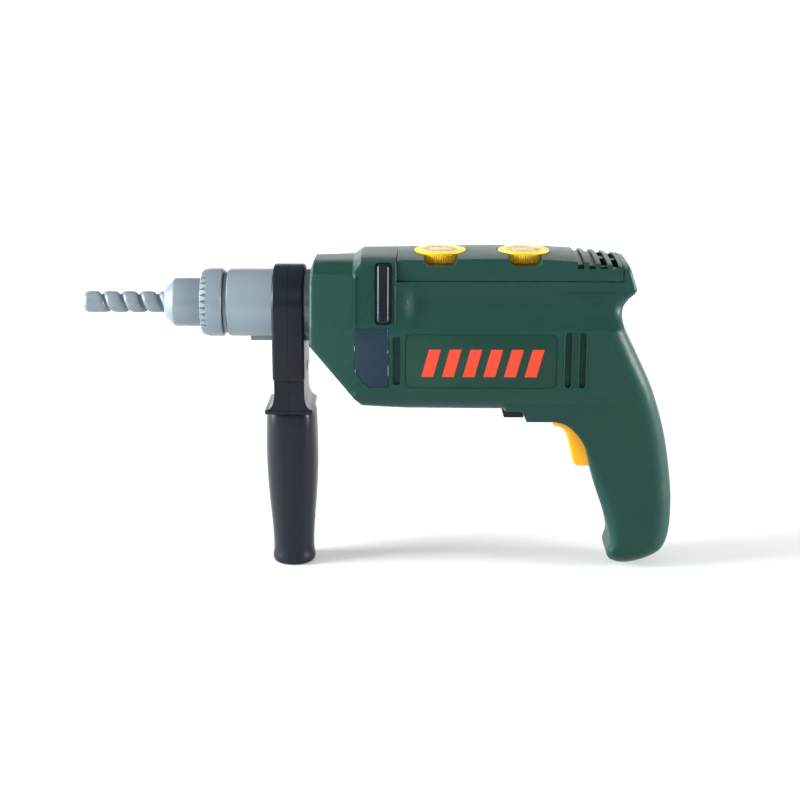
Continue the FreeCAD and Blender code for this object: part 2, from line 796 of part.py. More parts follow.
def strip_blank(side):
    """Textured bar let into the slanted side above the window."""
    half = cells["body_half_width"]
    z0 = cells["strip_bottom"]
    z1 = z0 + cells["strip_height"]
    x = cells["strip_start"]
    lean = (half - cells["top_half_width"]) / (cells["crease_height"] - cells["shoulder_height"])
    y0 = half - lean * (z0 - cells["shoulder_height"])
    y1 = half - lean * (z1 - cells["shoulder_height"])
    deep = cells["trim_thickness"]
    face = polygon_face([V(x, side * (y0 - deep), z0), V(x, side * (y0 + 0.3), z0),
                         V(x, side * (y1 + 0.3), z1), V(x, side * (y1 - deep), z1)])
    return face.extrude(V(cells["strip_width"], 0, 0))


def trims():
    """Smoked windows, black grip strips and plain label plates."""
    for side, name in ((-1, "left"), (1, "right")):
        node(name + "_lens", solid(name + "_lens", lens_blank(side)))
        node(name + "_side_strip", solid(name + "_side_strip", strip_blank(side)))
        y = "body_half_width - trim_thickness" if side > 0 else "-body_half_width + 0.3"
        node(name + "_label", block(name + "_label", "label_start", y, "label_bottom",
                                    "label_length", "trim_thickness - 0.3", "label_height"))


# ------------------------------------------------------------------ trigger
trigger_shape = [
    ("84.9", "76"), ("84.9", "72.4"), ("88.6", "69.8"), ("91.2", "67.6"),
    ("92.3", "65.2"), ("94.9", "52.7"), ("95.8", "51.4"), ("107", "51.4"),
    ("104.6", "62"), ("101", "71"), ("95.4", "79"), ("94", "84"), ("86", "84"),
]


def trigger():
    """Finger trigger swinging on a cross pin, with its return spring."""
    body = prism("trigger_blade", "XZ_Plane", trigger_shape, "-trigger_width / 2",
                 "trigger_width")
    eye = rod("trigger_eye", "y", "pin_radius + 3", "trigger_width", "trigger_pin_x",
              "-trigger_width / 2", "trigger_pin_z")
    bore = rod("trigger_bore", "y", "pin_radius + running_gap", "trigger_width",
               "trigger_pin_x", "-trigger_width / 2", "trigger_pin_z")
    node("trigger", cut("trigger", fuse("trigger_solid", body, eye), bore))
    node("trigger_pin", rod("trigger_pin", "y", "pin_radius - 0.02", "23.6", "trigger_pin_x", "-11.8",
                            "trigger_pin_z"))


def trigger_room():
    """Side outline swept by the trigger and its clearance."""
    gap = cells["free_gap"]
    px = cells["trigger_pin_x"]
    pz = cells["trigger_pin_z"]
    points = [V(float(x), 0, float(z)) for x, z in trigger_shape]
    face = polygon_face(points)
    swept = face
    for angle in range(-2, 13, 2):
        turned_face = face.copy()
        turned_face.rotate(V(px, 0, pz), V(0, 1, 0), -angle)
        swept = swept.fuse(turned_face)
    swept = swept.removeSplitter()
    wire = max(swept.Faces, key=lambda f: f.Area).OuterWire
    return Part.Face(wire).makeOffset2D(gap)


# -------------------------------------------------------------- slide switch
def slide_switch():
    """Black slider under the body with its guide plate inside."""
    knob = prism("slider_knob", "XZ_Plane", [
        ("slider_start + 2.2", "slider_bottom"),
        ("slider_start", "belly + 1"),
        ("slider_start", "belly + wall + 2.4"),
        ("slider_start + slider_length", "belly + wall + 2.4"),
        ("slider_start + slider_length", "slider_bottom"),
    ], "-slider_width / 2", "slider_width")
    plate = block("slider_plate", "slider_start - 3", "-slider_width / 2 - 3",
                  "belly + wall + 1.6", "slider_length + 6", "slider_width + 6", "1.6")
    node("slide_switch", fuse("slide_switch", knob, plate))


# ---------------------------------------------------------------- side handle
def handle_form(inset):
    """Strap round the neck, shoulder, flange and grip barrel."""
    mid = cells["handle_centre"]
    spin = cells["spindle_height"]
    strap = cells["strap_width"]
    radius = cells["strap_radius"] - inset
    step = cells["strap_step"]
    flange = cells["flange_height"]
    low_half = cells["strap_neck_width"] / 2 - inset
    wide = strap - 2 * inset
    x = mid - wide / 2
    hoop = Part.makeCylinder(radius, wide, V(x, 0, spin), V(1, 0, 0))
    cheek = Part.makeBox(wide, 2 * radius, spin - step - inset, V(x, -radius, step + inset))
    stem = Part.makeBox(wide, 2 * low_half, step - flange + 2 * inset + 4,
                        V(x, -low_half, flange - 4))
    rows = [
        (inset, cells["handle_bottom_length"] - 1, 22.0),
        (4, cells["handle_bottom_length"] + 1, 24.4),
        (16, cells["handle_bottom_length"], 24.6),
        (38, cells["handle_mid_length"] - 2, 28.0),
        (56, cells["handle_mid_length"], 31.0),
        (74, cells["handle_mid_length"] - 1.2, 32.0),
        (flange - 2 - inset, cells["handle_mid_length"] - 1.8, 32.0),
    ]
    wires = []
    for z, length, width in rows:
        a = length / 2 - inset
        b = width / 2 - inset
        wires.append(rounded_section(mid, z, a, b, min(a, b) * 0.6))
    barrel = Part.makeLoft(wires, True, False)
    a = cells["flange_length"] / 2 + 0.4 - inset
    lip_height = cells["wall"] + cells["flange_skin"]
    lip = Part.Face(rounded_section(mid, flange - lip_height + inset, a, 16.4 - inset, 5))
    lip = lip.extrude(V(0, 0, lip_height - inset))
    return hoop.fuse([cheek, stem, barrel, lip])


def rounded_section(x, z, a, b, r):
    """Horizontal rounded rectangle of half sizes a, b and corner radius r."""
    k = r * (1 - math.sqrt(0.5))
    edges = []
    spots = [(-a + r, -b), (a - r, -b), (a, -b + r), (a, b - r),
             (a - r, b), (-a + r, b), (-a, b - r), (-a, -b + r)]
    mids = [(a - k, -b + k), (a - k, b - k), (-a + k, b - k), (-a + k, -b + k)]
    for i in range(4):
        p, q, s = spots[2 * i], spots[2 * i + 1], spots[(2 * i + 2) % 8]
        m = mids[i]
        edges.append(Part.LineSegment(V(x + p[0], p[1], z), V(x + q[0], q[1], z)).toShape())
        edges.append(Part.Arc(V(x + q[0], q[1], z), V(x + m[0], m[1], z),
                              V(x + s[0], s[1], z)).toShape())
    return Part.Wire(edges)


def handle_screw_heights():
    """Heights of the two screws that join the handle halves."""
    return (24.0, 100.0)


def side_handle():
    """Front and rear handle halves with their screws."""
    mid = cells["handle_centre"]
    spin = cells["spindle_height"]
    form = handle_form(0)
    hollow = handle_form(cells["wall"])
    shell = form.cut(hollow)
    bore_r = cells["ring_radius"] + cells["free_gap"]
    sleeve = Part.makeCylinder(cells["strap_radius"] - 0.2, cells["strap_width"],
                               V(mid - cells["strap_width"] / 2, 0, spin), V(1, 0, 0))
    shell = shell.fuse(sleeve)
    for z in handle_screw_heights():
        post = Part.makeCylinder(4.6, 40, V(mid - 20, 0, z), V(1, 0, 0)).common(form)
        shell = shell.fuse(post)
    bore = Part.makeCylinder(bore_r, 60, V(mid - 30, 0, spin), V(1, 0, 0))
    key = cells["key_width"] / 2 + cells["free_gap"]
    slot_low = spin - cells["neck_radius"] - cells["key_height"] - cells["free_gap"]
    bore = bore.fuse(Part.makeBox(60, 2 * key, 12, V(mid - 30, -key, slot_low)))
    shell = shell.fuse(Part.makeBox(cells["strap_width"], 2 * key + 4, 5,
                                    V(mid - cells["strap_width"] / 2, -key - 2, slot_low - 2)))
    shell = shell.cut(bore)
    screws = []
    for z in handle_screw_heights():
        shell = shell.cut(Part.makeCylinder(cells["screw_radius"], 9, V(mid - 5, 0, z), V(1, 0, 0)))
        shell = shell.cut(Part.makeCylinder(cells["screw_head_radius"] + 0.3, 30,
                                            V(mid + 3, 0, z), V(1, 0, 0)))
        shank = rod("handle_shank_%d" % z, "x", "screw_radius", "7.8", "handle_centre - 4.6",
                    "0", str(z))
        head = rod("handle_head_%d" % z, "x", "screw_head_radius", "screw_head_height",
                   "handle_centre + 3", "0", str(z))
        screws.append(fuse("handle_screw_%d" % z, shank, head))
    big = Part.makeBox(60, 80, 220, V(mid - 60, -40, -10))
    node("front_handle_shell", solid("front_handle_shell", biggest(shell.common(big))))
    node("rear_handle_shell", solid("rear_handle_shell", biggest(shell.cut(big))))
    node("handle_screws", group("handle_screws", screws))


# -------------------------------------------------------------------- dials
def dials():
    """Two knurled dials on stems held by a screw and washer below."""
    for name, spot in (("front_dial", "front_dial_place"), ("rear_dial", "rear_dial_place")):
        base = "dial_top - dial_thickness"
        disc = rod(name + "_disc", "z", "dial_radius", "dial_thickness", spot, "0", base)
        floor = "dial_top - dial_thickness - free_gap - 2 - 0.3"
        stem = rod(name + "_stem", "z", "dial_stem_radius", base + " - (" + floor + ")", spot,
                   "0", floor)
        flutes = doc.addObject("Part::Feature", name + "_flutes")
        tools = []
        for k in range(28):
            a = 2 * math.pi * k / 28
            r = cells["dial_radius"] + 0.5
            tools.append(Part.makeCylinder(1.0, 8, V(val(spot) + r * math.cos(a),
                                                     r * math.sin(a), val(base) - 1)))
        flutes.Shape = Part.makeCompound(tools)
        node(name, cut(name, fuse(name + "_solid", disc, stem), flutes))
        washer = rod(name + "_washer", "z", "dial_stem_radius + 2", "1", spot, "0",
                     floor + " - 1")
        node(name + "_washer", washer)


# ---------------------------------------------------------- motor and frame
def motor():
    """Small flat-sided motor: can, end cap, shaft and the frame plates."""
    start = "rear_plate + plate_thickness"
    can = rod("motor_round", "x", "motor_radius", "motor_length", start, "0", motor_height)
    flat = block("motor_slab", start, "-motor_radius", motor_height + " - motor_flat",
                 "motor_length", "2 * motor_radius", "2 * motor_flat")
    hollow = rod("motor_hollow", "x", "motor_flat - 0.8", "motor_length - 1", start + " + 1", "0",
                 motor_height)
    nose = rod("motor_nose_hole", "x", "motor_shaft_radius + running_gap", "3", start + " - 1",
               "0", motor_height)
    node("motor_can", cut("motor_can", common("motor_body", can, flat), hollow, nose))
    cap = rod("end_cap_round", "x", "motor_radius - 0.2", "3", start + " + motor_length", "0",
              motor_height)
    cap_flat = block("end_cap_slab", start + " + motor_length", "-motor_radius",
                     motor_height + " - motor_flat + 0.2", "3", "2 * motor_radius",
                     "2 * motor_flat - 0.4")
    node("motor_end_cap", cut("motor_end_cap", common("end_cap_body", cap, cap_flat),
                              rod("end_cap_bore", "x", "motor_shaft_radius + running_gap", "3",
                                  start + " + motor_length", "0", motor_height)))
    shaft = rod("rotor_shaft", "x", "motor_shaft_radius",
                "motor_length + 3 + plate_thickness + rear_plate - (" + large_start + ")",
                large_start, "0", motor_height)
    rotor = rod("rotor_core", "x", "motor_flat - 1.6", "motor_length - 8", start + " + 4", "0",
                motor_height)
    node("motor_rotor", fuse("motor_rotor", shaft, rotor))


def gear_frame():
    """Two plates that carry spindle bush, idler axle and motor."""
    for name, start, low in (
            ("front_gear_plate", "front_plate", idler_height + " - 8"),
            ("rear_gear_plate", "rear_plate", "belly + wall + 4")):
        tall = "cover_line - 1.2 - (" + low + ")"
        plate = block(name + "_blank", start, "-top_half_width + wall + 1.2", low,
                      "plate_thickness", "2 * (top_half_width - wall - 1.2)", tall)
        bush = rod(name + "_bush_hole", "x", "shaft_radius + 2", "plate_thickness", start, "0",
                   "spindle_height")
        axle = rod(name + "_axle_hole", "x", "axle_radius", "plate_thickness", start, "0",
                   idler_height)
        if name.startswith("rear"):
            shaft = rod(name + "_shaft_hole", "x", "motor_shaft_radius + 1.5",
                        "plate_thickness", start, "0", motor_height)
        holes = [bush, axle, shaft] if name.startswith("rear") else [bush, axle]
        node(name, cut(name, plate, *holes))
        ring = cut(name + "_bush",
                   rod(name + "_bush_outer", "x", "shaft_radius + 2", "plate_thickness + 0.8",
                       start + " - 0.4", "0", "spindle_height"),
                   rod(name + "_bush_bore", "x", "shaft_radius + running_gap",
                       "plate_thickness + 0.8", start + " - 0.4", "0", "spindle_height"))
        node(name.replace("_gear_plate", "") + "_plate_bush", ring)
    node("idler_axle", rod("idler_axle", "x", "axle_radius",
                           "rear_plate + plate_thickness - front_plate", "front_plate", "0",
                           idler_height))


# ------------------------------------------------------------- electrics
def cell_frame():
    """Placement of the battery bay: along the grip, leaning with it."""
    return FreeCAD.Placement(V(cells["cell_x"], 0, cells["cell_z"]),
                             FreeCAD.Rotation(V(0, 1, 0), -cells["cell_tilt"]))


def cell_room():
    """Space cleared for both cells and their contacts."""
    room = Part.makeBox(4 * cells["cell_radius"] + 1.2, 2 * cells["cell_radius"] + 1,
                        cells["cell_length"] + 6,
                        V(-2 * cells["cell_radius"] - 0.6, -cells["cell_radius"] - 0.5,
                          -cells["cell_length"] / 2 - 3))
    room.Placement = cell_frame()
    return room


def door_blank(play):
    """Battery door: a plate let into the right side of the grip."""
    blank = Part.makeBox(24 - 2 * play, 30, 54 - 2 * play, V(-12 + play, 9, -27 + play))
    blank.Placement = cell_frame()
    return blank


def batteries():
    """Two small cells side by side, their contacts, and the screwed door."""
    radius = cells["cell_radius"]
    length = cells["cell_length"]
    cells_made = []
    springs = []
    for side in (-1, 1):
        x = side * (radius + 0.1)
        can = Part.makeCylinder(radius, length - 1, V(x, 0, -length / 2 + (side < 0)))
        button_z = length / 2 - 1 if side > 0 else -length / 2
        can = can.fuse(Part.makeCylinder(1.7, 1, V(x, 0, button_z)))
        can.Placement = cell_frame()
        cells_made.append(can)
    node("battery_cells", solid("battery_cells", Part.makeCompound(cells_made)))
    for end in (-1, 1):
        plate = Part.makeBox(4 * radius, 2 * radius - 1, 0.4,
                             V(-2 * radius, -radius + 0.5, end * (length / 2 + 0.2) - 0.2))
        dimple = Part.makeBox(3, 3, 2.4, V(-1.5, -1.5, end * (length / 2 + 1.6) - 1.2))
        plate = plate.fuse(dimple)
        plate.Placement = cell_frame()
        springs.append(plate)
    node("battery_contacts", solid("battery_contacts", Part.makeCompound(springs)))
    door = door_blank(0.35).common(drill_form(0)).cut(drill_form(cells["wall"]))
    post = Part.makeCylinder(1.6, 40, V(0, 0, 0), V(0, 1, 0))
    post.Placement = FreeCAD.Placement(cell_frame().multVec(V(0, 0, 24.5)), FreeCAD.Rotation())
    node("battery_door", solid("battery_door", biggest(door.cut(post))))
    spot = cell_frame().multVec(V(0, 0, 24.5))
    head_y = cells["grip_half_width"] - 1.6
    screw = Part.makeCylinder(1.5, 5, V(spot.x, head_y - 4, spot.z), V(0, 1, 0))
    node("door_screw", solid("door_screw", screw))


def electrics():
    """Board, speaker, lamp and the trigger's switch."""
    node("circuit_board", block("circuit_board", "board_start", "-top_half_width + wall + 0.8",
                                "board_height", "board_length",
                                "2 * (top_half_width - wall - 0.8)", "1.6"))
    disc = rod("speaker_rim", "z", "speaker_radius", "3", "speaker_x", "0", "cover_line - 4")
    magnet = rod("speaker_magnet", "z", "speaker_radius * 0.55", "4", "speaker_x", "0",
                 "cover_line - 8")
    bar = block("speaker_bar", "speaker_x - 14", "-4", "cover_line - 4", "28", "8", "1")
    node("speaker", fuse("speaker", disc, magnet, bar))
    node("lamp", rod("lamp", "y", "lamp_radius", "5", "lens_start + lens_length / 2 - 1",
                     "-body_half_width + trim_thickness", "lens_bottom + lens_height / 2"))
    turns = Part.makeLongHelix(1.4, 5.6, 2.0)
    wire = Part.Wire([Part.makeCircle(0.3, V(2.0, 0, 0), V(0, 1, 0))])
    coil = Part.Wire(turns.Edges).makePipeShell([wire], True, True)
    coil.rotate(V(0, 0, 0), V(0, 1, 0), 90)
    node("trigger_spring", solid("trigger_spring", coil, 103.0, 0, 71))
    node("trigger_switch", block("trigger_switch", "109", "-5", "66", "9", "10", "10"))


def housing_screws():
    """Pan-head screws from the right side into the left bosses."""
    made = []
    for k, (x, z) in enumerate(boss_spots()):
        shank = rod("housing_shank_%d" % k, "y", "screw_radius", "18", str(x), "-12", str(z))
        head = rod("housing_head_%d" % k, "y", "screw_head_radius", "screw_head_height",
                   str(x), "6", str(z))
        made.append(fuse("housing_screw_%d" % k, shank, head))
    node("housing_screws", group("housing_screws", made))


gears()
drill_bit()
chuck()
neck()
housing()
trims()
trigger()
slide_switch()
side_handle()
dials()
motor()
gear_frame()
batteries()
electrics()
housing_screws()
doc.recompute()

for thing in doc.Objects:
    if "Invalid" in thing.State or "Error" in thing.State:
        raise ValueError(thing.Name + " did not recompute")
os.makedirs("parts", exist_ok=True)
for name, thing in nodes.items():
    shape = thing.Shape
    if shape.isNull() or not shape.isValid() or not shape.Solids:
        raise ValueError(name + " is not a sound solid")
    shape.exportStep("parts/" + name + ".step")
print(len(nodes), "nodes")
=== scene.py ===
import bpy
import bmesh
import math
from mathutils import Matrix, Vector
from mathutils.geometry import delaunay_2d_cdt


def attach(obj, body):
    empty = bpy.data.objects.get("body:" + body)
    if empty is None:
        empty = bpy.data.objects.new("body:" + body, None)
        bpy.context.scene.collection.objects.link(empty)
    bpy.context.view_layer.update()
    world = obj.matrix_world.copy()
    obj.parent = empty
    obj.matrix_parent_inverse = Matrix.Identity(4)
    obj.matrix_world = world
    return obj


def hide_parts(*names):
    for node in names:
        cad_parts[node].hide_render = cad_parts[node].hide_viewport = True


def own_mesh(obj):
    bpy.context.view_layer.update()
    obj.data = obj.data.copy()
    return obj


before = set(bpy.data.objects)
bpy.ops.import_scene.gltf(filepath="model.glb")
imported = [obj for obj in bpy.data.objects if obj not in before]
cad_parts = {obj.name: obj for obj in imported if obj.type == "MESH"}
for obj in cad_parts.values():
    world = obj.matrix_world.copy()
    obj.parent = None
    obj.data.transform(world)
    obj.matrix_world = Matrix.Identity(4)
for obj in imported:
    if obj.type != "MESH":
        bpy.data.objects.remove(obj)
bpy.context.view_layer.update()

# The toy's own sizes are in millimetres and become metres with MM.
MM = 0.001

# ------------------------------------------------------------ the table top
# A pale seamless sweep to stand the toy on, as for a catalogue.  A small soft
# box at each side lights the toy, with weak ones overhead, in front and over
# the left of the table, and the table glows a little, most of all far off.
bpy.ops.object.select_all(action="DESELECT")
paper_size = 40
paper_back = 1.4
bend_radius = 0.9
bpy.ops.mesh.primitive_plane_add(size=paper_size, location=(0, paper_back - paper_size / 2, 0))
table = bpy.context.object
table.name = "table_top"
bpy.ops.object.transform_apply(location=True, rotation=True, scale=True)
bpy.ops.object.mode_set(mode="EDIT")
sweep = bmesh.from_edit_mesh(table.data)
for vertex in sweep.verts:
    vertex.select_set(vertex.co.y > 1)
sweep.select_flush_mode()
bmesh.update_edit_mesh(table.data)
bpy.ops.mesh.spin(steps=14, angle=math.radians(56), center=(0, paper_back, bend_radius),
                  axis=(1, 0, 0))
bpy.ops.object.mode_set(mode="OBJECT")
bpy.ops.object.shade_smooth_by_angle(angle=math.radians(40))
paper = bpy.data.materials.new("white_paper")
paper.use_nodes = True
white = paper.node_tree.nodes["Principled BSDF"]
white.inputs["Base Color"].default_value = (0.56, 0.565, 0.57, 1)
white.inputs["Roughness"].default_value = 0.8
white.inputs["Specular IOR Level"].default_value = 0.1
white.inputs["Emission Color"].default_value = (0.97, 0.99, 1.0, 1)
place_on = paper.node_tree.nodes.new("ShaderNodeTexCoord")
depth_on = paper.node_tree.nodes.new("ShaderNodeSeparateXYZ")
far_share = paper.node_tree.nodes.new("ShaderNodeMapRange")
far_share.inputs["From Min"].default_value = -2.0
far_share.inputs["From Max"].default_value = 2.0
far_glow = 0.95
near_glow = 0.22
back_glow = paper.node_tree.nodes.new("ShaderNodeValToRGB")
for spot, strength in ((0.01, far_glow), (0.2, far_glow), (0.36, near_glow), (0.575, near_glow),
                       (0.725, 0.80), (0.87, 0.78), (0.975, 0.15)):
    stop = back_glow.color_ramp.elements.new(spot)
    stop.color = (strength, strength, strength, 1)
back_glow.color_ramp.elements.remove(back_glow.color_ramp.elements[0])
back_glow.color_ramp.elements.remove(back_glow.color_ramp.elements[-1])
paper.node_tree.links.new(place_on.outputs["Object"], depth_on.inputs["Vector"])
paper.node_tree.links.new(depth_on.outputs["Y"], far_share.inputs["Value"])
paper.node_tree.links.new(far_share.outputs["Result"], back_glow.inputs["Fac"])
sideways = paper.node_tree.nodes.new("ShaderNodeMath")
sideways.operation = "ABSOLUTE"
side_glow = paper.node_tree.nodes.new("ShaderNodeMapRange")
side_glow.inputs["From Min"].default_value = 0.9
side_glow.inputs["From Max"].default_value = 1.6
side_glow.inputs["To Max"].default_value = far_glow
stronger = paper.node_tree.nodes.new("ShaderNodeMath")
stronger.operation = "MAXIMUM"
paper.node_tree.links.new(depth_on.outputs["X"], sideways.inputs[0])
paper.node_tree.links.new(sideways.outputs["Value"], side_glow.inputs["Value"])
paper.node_tree.links.new(side_glow.outputs["Result"], stronger.inputs[0])
paper.node_tree.links.new(back_glow.outputs["Color"], stronger.inputs[1])
paper.node_tree.links.new(stronger.outputs["Value"], white.inputs["Emission Strength"])
table.data.materials.append(paper)

sky = bpy.data.worlds.new("studio")
bpy.context.scene.world = sky
sky.use_nodes = True
glow = sky.node_tree.nodes["Background"]
glow.inputs["Color"].default_value = (0.96, 0.98, 1.0, 1)
heading = sky.node_tree.nodes.new("ShaderNodeTexCoord")
parts = sky.node_tree.nodes.new("ShaderNodeSeparateXYZ")
rear_bright = sky.node_tree.nodes.new("ShaderNodeMapRange")
rear_bright.inputs["From Min"].default_value = -1
rear_bright.inputs["To Min"].default_value = 0.05
rear_bright.inputs["To Max"].default_value = 0.24
sky.node_tree.links.new(heading.outputs["Generated"], parts.inputs["Vector"])
sky.node_tree.links.new(parts.outputs["Y"], rear_bright.inputs["Value"])
sky.node_tree.links.new(rear_bright.outputs["Result"], glow.inputs["Strength"])
for name, place, target, size, power in (
        ("top_box", (0.05, 0.05, 1.3), (0, 0, 0.09), 1.6, 3),
        ("left_box", (-1.3, -0.28, 0.4), (0, 0, 0.09), 0.6, 62),
        ("left_floor_box", (-0.62, -0.15, 0.5), (-0.5, -0.15, 0), 0.5, 3),
        ("right_box", (1.25, -0.2, 0.24), (0, 0, 0.09), 0.5, 38),
        ("front_box", (0.1, -1.5, 1.1), (0, 0, 0.09), 0.9, 4)):
    bpy.ops.object.light_add(type="AREA", location=place)
    lamp = bpy.context.object
    lamp.name = name
    lamp.data.size = size
    lamp.data.energy = power
    lamp.rotation_euler = (Vector(target) - Vector(place)).to_track_quat("-Z", "Y").to_euler()
bpy.context.scene.view_settings.view_transform = "Standard"

# The camera stands in front of the left side, a little above the drill.
aim = Vector((0.010, 0, 0.0824))
reach = 0.8085
tilt = math.radians(14.5)
swing = math.radians(1.0)
back = Vector((math.sin(swing) * math.cos(tilt), -math.cos(swing) * math.cos(tilt), math.sin(tilt)))
eye = aim + reach * back
bpy.ops.object.camera_add(location=eye, rotation=(aim - eye).to_track_quat("-Z", "Y").to_euler())
bpy.context.object.data.lens = 74.25
bpy.context.scene.camera = bpy.context.object


# --------------------------------------------------------- housing halves
# Two thin half shells moulded in fine-textured green plastic and screwed
# together on the middle plane.  They hold everything else.
green_plastic = (0.0076, 0.039, 0.0315)
wall = 1.7
widest = 29.0
draft = 0.011
slant_in, slant_up = 6.1, 31.4
cove_height = 17.5
cove_setback = 5.8
belly_height = 12.6
belly_tuck = 15
shoulder_z = 123.5
panel_z = 95.0
cover_z = 145.5
cover_x = (8.7, 114.8)


def moulded(name, colour, rough=0.37, grain=1300, depth=0.00018, mottle=0.10, shine=0.3):
    """A moulded plastic: even colour, faint mottling, spark-eroded grain."""
    finish = bpy.data.materials.new(name)
    finish.use_nodes = True
    nodes = finish.node_tree.nodes
    link = finish.node_tree.links.new
    shader = nodes["Principled BSDF"]
    where = nodes.new("ShaderNodeTexCoord")
    cloud = nodes.new("ShaderNodeTexNoise")
    cloud.inputs["Scale"].default_value = 28
    cloud.inputs["Detail"].default_value = 6
    link(where.outputs["Object"], cloud.inputs["Vector"])
    tint = nodes.new("ShaderNodeMix")
    tint.data_type = "RGBA"
    tint.inputs[6].default_value = tuple(c * (1 - mottle) for c in colour) + (1,)
    tint.inputs[7].default_value = tuple(min(1, c * (1 + mottle)) for c in colour) + (1,)
    link(cloud.outputs["Fac"], tint.inputs[0])
    link(tint.outputs[2], shader.inputs["Base Color"])
    grit = nodes.new("ShaderNodeTexNoise")
    grit.inputs["Scale"].default_value = grain
    grit.inputs["Detail"].default_value = 2
    link(where.outputs["Object"], grit.inputs["Vector"])
    bump = nodes.new("ShaderNodeBump")
    bump.inputs["Distance"].default_value = depth
    bump.inputs["Strength"].default_value = 1.0
    link(grit.outputs["Fac"], bump.inputs["Height"])
    link(bump.outputs["Normal"], shader.inputs["Normal"])
    span = nodes.new("ShaderNodeMapRange")
    span.inputs["To Min"].default_value = rough - 0.06
    span.inputs["To Max"].default_value = rough + 0.08
    link(cloud.outputs["Fac"], span.inputs["Value"])
    link(span.outputs["Result"], shader.inputs["Roughness"])
    shader.inputs["Specular IOR Level"].default_value = shine
    return finish


def only(piece):
    """Select this piece and nothing else."""
    bpy.ops.object.select_all(action="DESELECT")
    piece.select_set(True)
    bpy.context.view_layer.objects.active = piece


def apply(piece, kind, **settings):
    """Add one modifier, set it up and apply it."""
    only(piece)
    change = piece.modifiers.new(kind.lower(), kind)
    for key, setting in settings.items():
        setattr(change, key, setting)
    bpy.ops.object.modifier_apply(modifier=change.name)


def carve(piece, tool, how="DIFFERENCE"):
    """Take the tool out of the piece, or join it on, and throw the tool away."""
    apply(piece, "BOOLEAN", operation=how, object=tool, solver="MANIFOLD")
    bpy.data.objects.remove(tool, do_unlink=True)


def finish_piece(piece, name, body, material, replaced=(), angle=32):
    """Name, smooth, colour and hang a finished piece on its body."""
    only(piece)
    bpy.ops.object.transform_apply(location=True, rotation=True, scale=True)
    piece.name = name
    piece.data.name = name
    bpy.ops.object.shade_smooth_by_angle(angle=math.radians(angle))
    piece.data.materials.clear()
    piece.data.materials.append(material)
    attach(piece, body)
    if replaced:
        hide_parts(*replaced)
    return piece


def cube(x0, x1, y0, y1, z0, z1, round_off=0.0, axis=None):
    """A block between six millimetre limits, its edges along an axis rounded."""
    y0, y1 = sorted((y0, y1))
    bpy.ops.object.select_all(action="DESELECT")
    bpy.ops.mesh.primitive_cube_add(size=1, location=((x0 + x1) / 2 * MM, (y0 + y1) / 2 * MM,
                                                      (z0 + z1) / 2 * MM))
    piece = bpy.context.object
    piece.scale = ((x1 - x0) * MM, (y1 - y0) * MM, (z1 - z0) * MM)
    bpy.ops.object.transform_apply(location=True, rotation=True, scale=True)
    if round_off:
        bpy.ops.object.mode_set(mode="EDIT")
        mesh = bmesh.from_edit_mesh(piece.data)
        for edge in mesh.edges:
            run = edge.verts[0].co - edge.verts[1].co
            edge.select_set(axis is None or abs(run["xyz".index(axis)]) > 0.9 * run.length)
        mesh.select_mode = {"EDGE"}
        mesh.select_flush_mode()
        bmesh.update_edit_mesh(piece.data)
        bpy.ops.mesh.bevel(offset=round_off * MM, segments=6 if round_off > 1 else 3, affect="EDGES")
        bpy.ops.object.mode_set(mode="OBJECT")
    return piece


def rod(axis, radius, start, end, a, b, sides=64):
    """A round bar along an axis between two places; a, b are the other two."""
    middle = (start + end) / 2
    spot = {"x": (middle, a, b), "y": (a, middle, b), "z": (a, b, middle)}[axis]
    turn = {"x": (0, math.pi / 2, 0), "y": (math.pi / 2, 0, 0), "z": (0, 0, 0)}[axis]
    bpy.ops.object.select_all(action="DESELECT")
    bpy.ops.mesh.primitive_cylinder_add(vertices=sides, radius=radius * MM,
                                        depth=abs(end - start) * MM,
                                        location=Vector(spot) * MM, rotation=turn)
    bpy.ops.object.transform_apply(location=True, rotation=True, scale=True)
    return bpy.context.object


def mix(a, b, t):
    """The value a share t of the way from a to b."""
    return a + (b - a) * t


def ease(low, high, value):
    """0 below low, 1 above high, smooth between."""
    t = min(1, max(0, (value - low) / (high - low)))
    return t * t * (3 - 2 * t)


def run_through(place, knots):
    """Value at a place, straight between (place, value) knots, held at the ends."""
    if place <= knots[0][0]:
        return knots[0][1]
    for (a, va), (b, vb) in zip(knots, knots[1:]):
        if place <= b:
            return mix(va, vb, (place - a) / (b - a))
    return knots[-1][1]


def straight(corners, gap=1.3):
    """Even steps along straight runs; the last corner is left to the next run."""
    rows = []
    for a, b in zip(corners, corners[1:]):
        steps = max(1, round(math.dist(a[:2], b[:2]) / gap))
        rows += [tuple(mix(p, q, k / steps) for p, q in zip(a, b)) for k in range(steps)]
    return rows


def bent(points, gap=1.3):
    """Even steps along one smooth curve through the points."""
    rows = []
    for i in range(len(points) - 1):
        a = points[max(i - 1, 0)]
        b = points[i]
        c = points[i + 1]
        d = points[min(i + 2, len(points) - 1)]
        steps = max(1, round(math.dist(b[:2], c[:2]) / gap))
        for k in range(steps):
            t = k / steps
            rows.append(tuple(0.5 * (2 * q + (r - p) * t + (2 * p - 5 * q + 4 * r - s) * t * t
                                     + (3 * q - p - 3 * r + s) * t ** 3)
                              for p, q, r, s in zip(a, b, c, d)))
    return rows


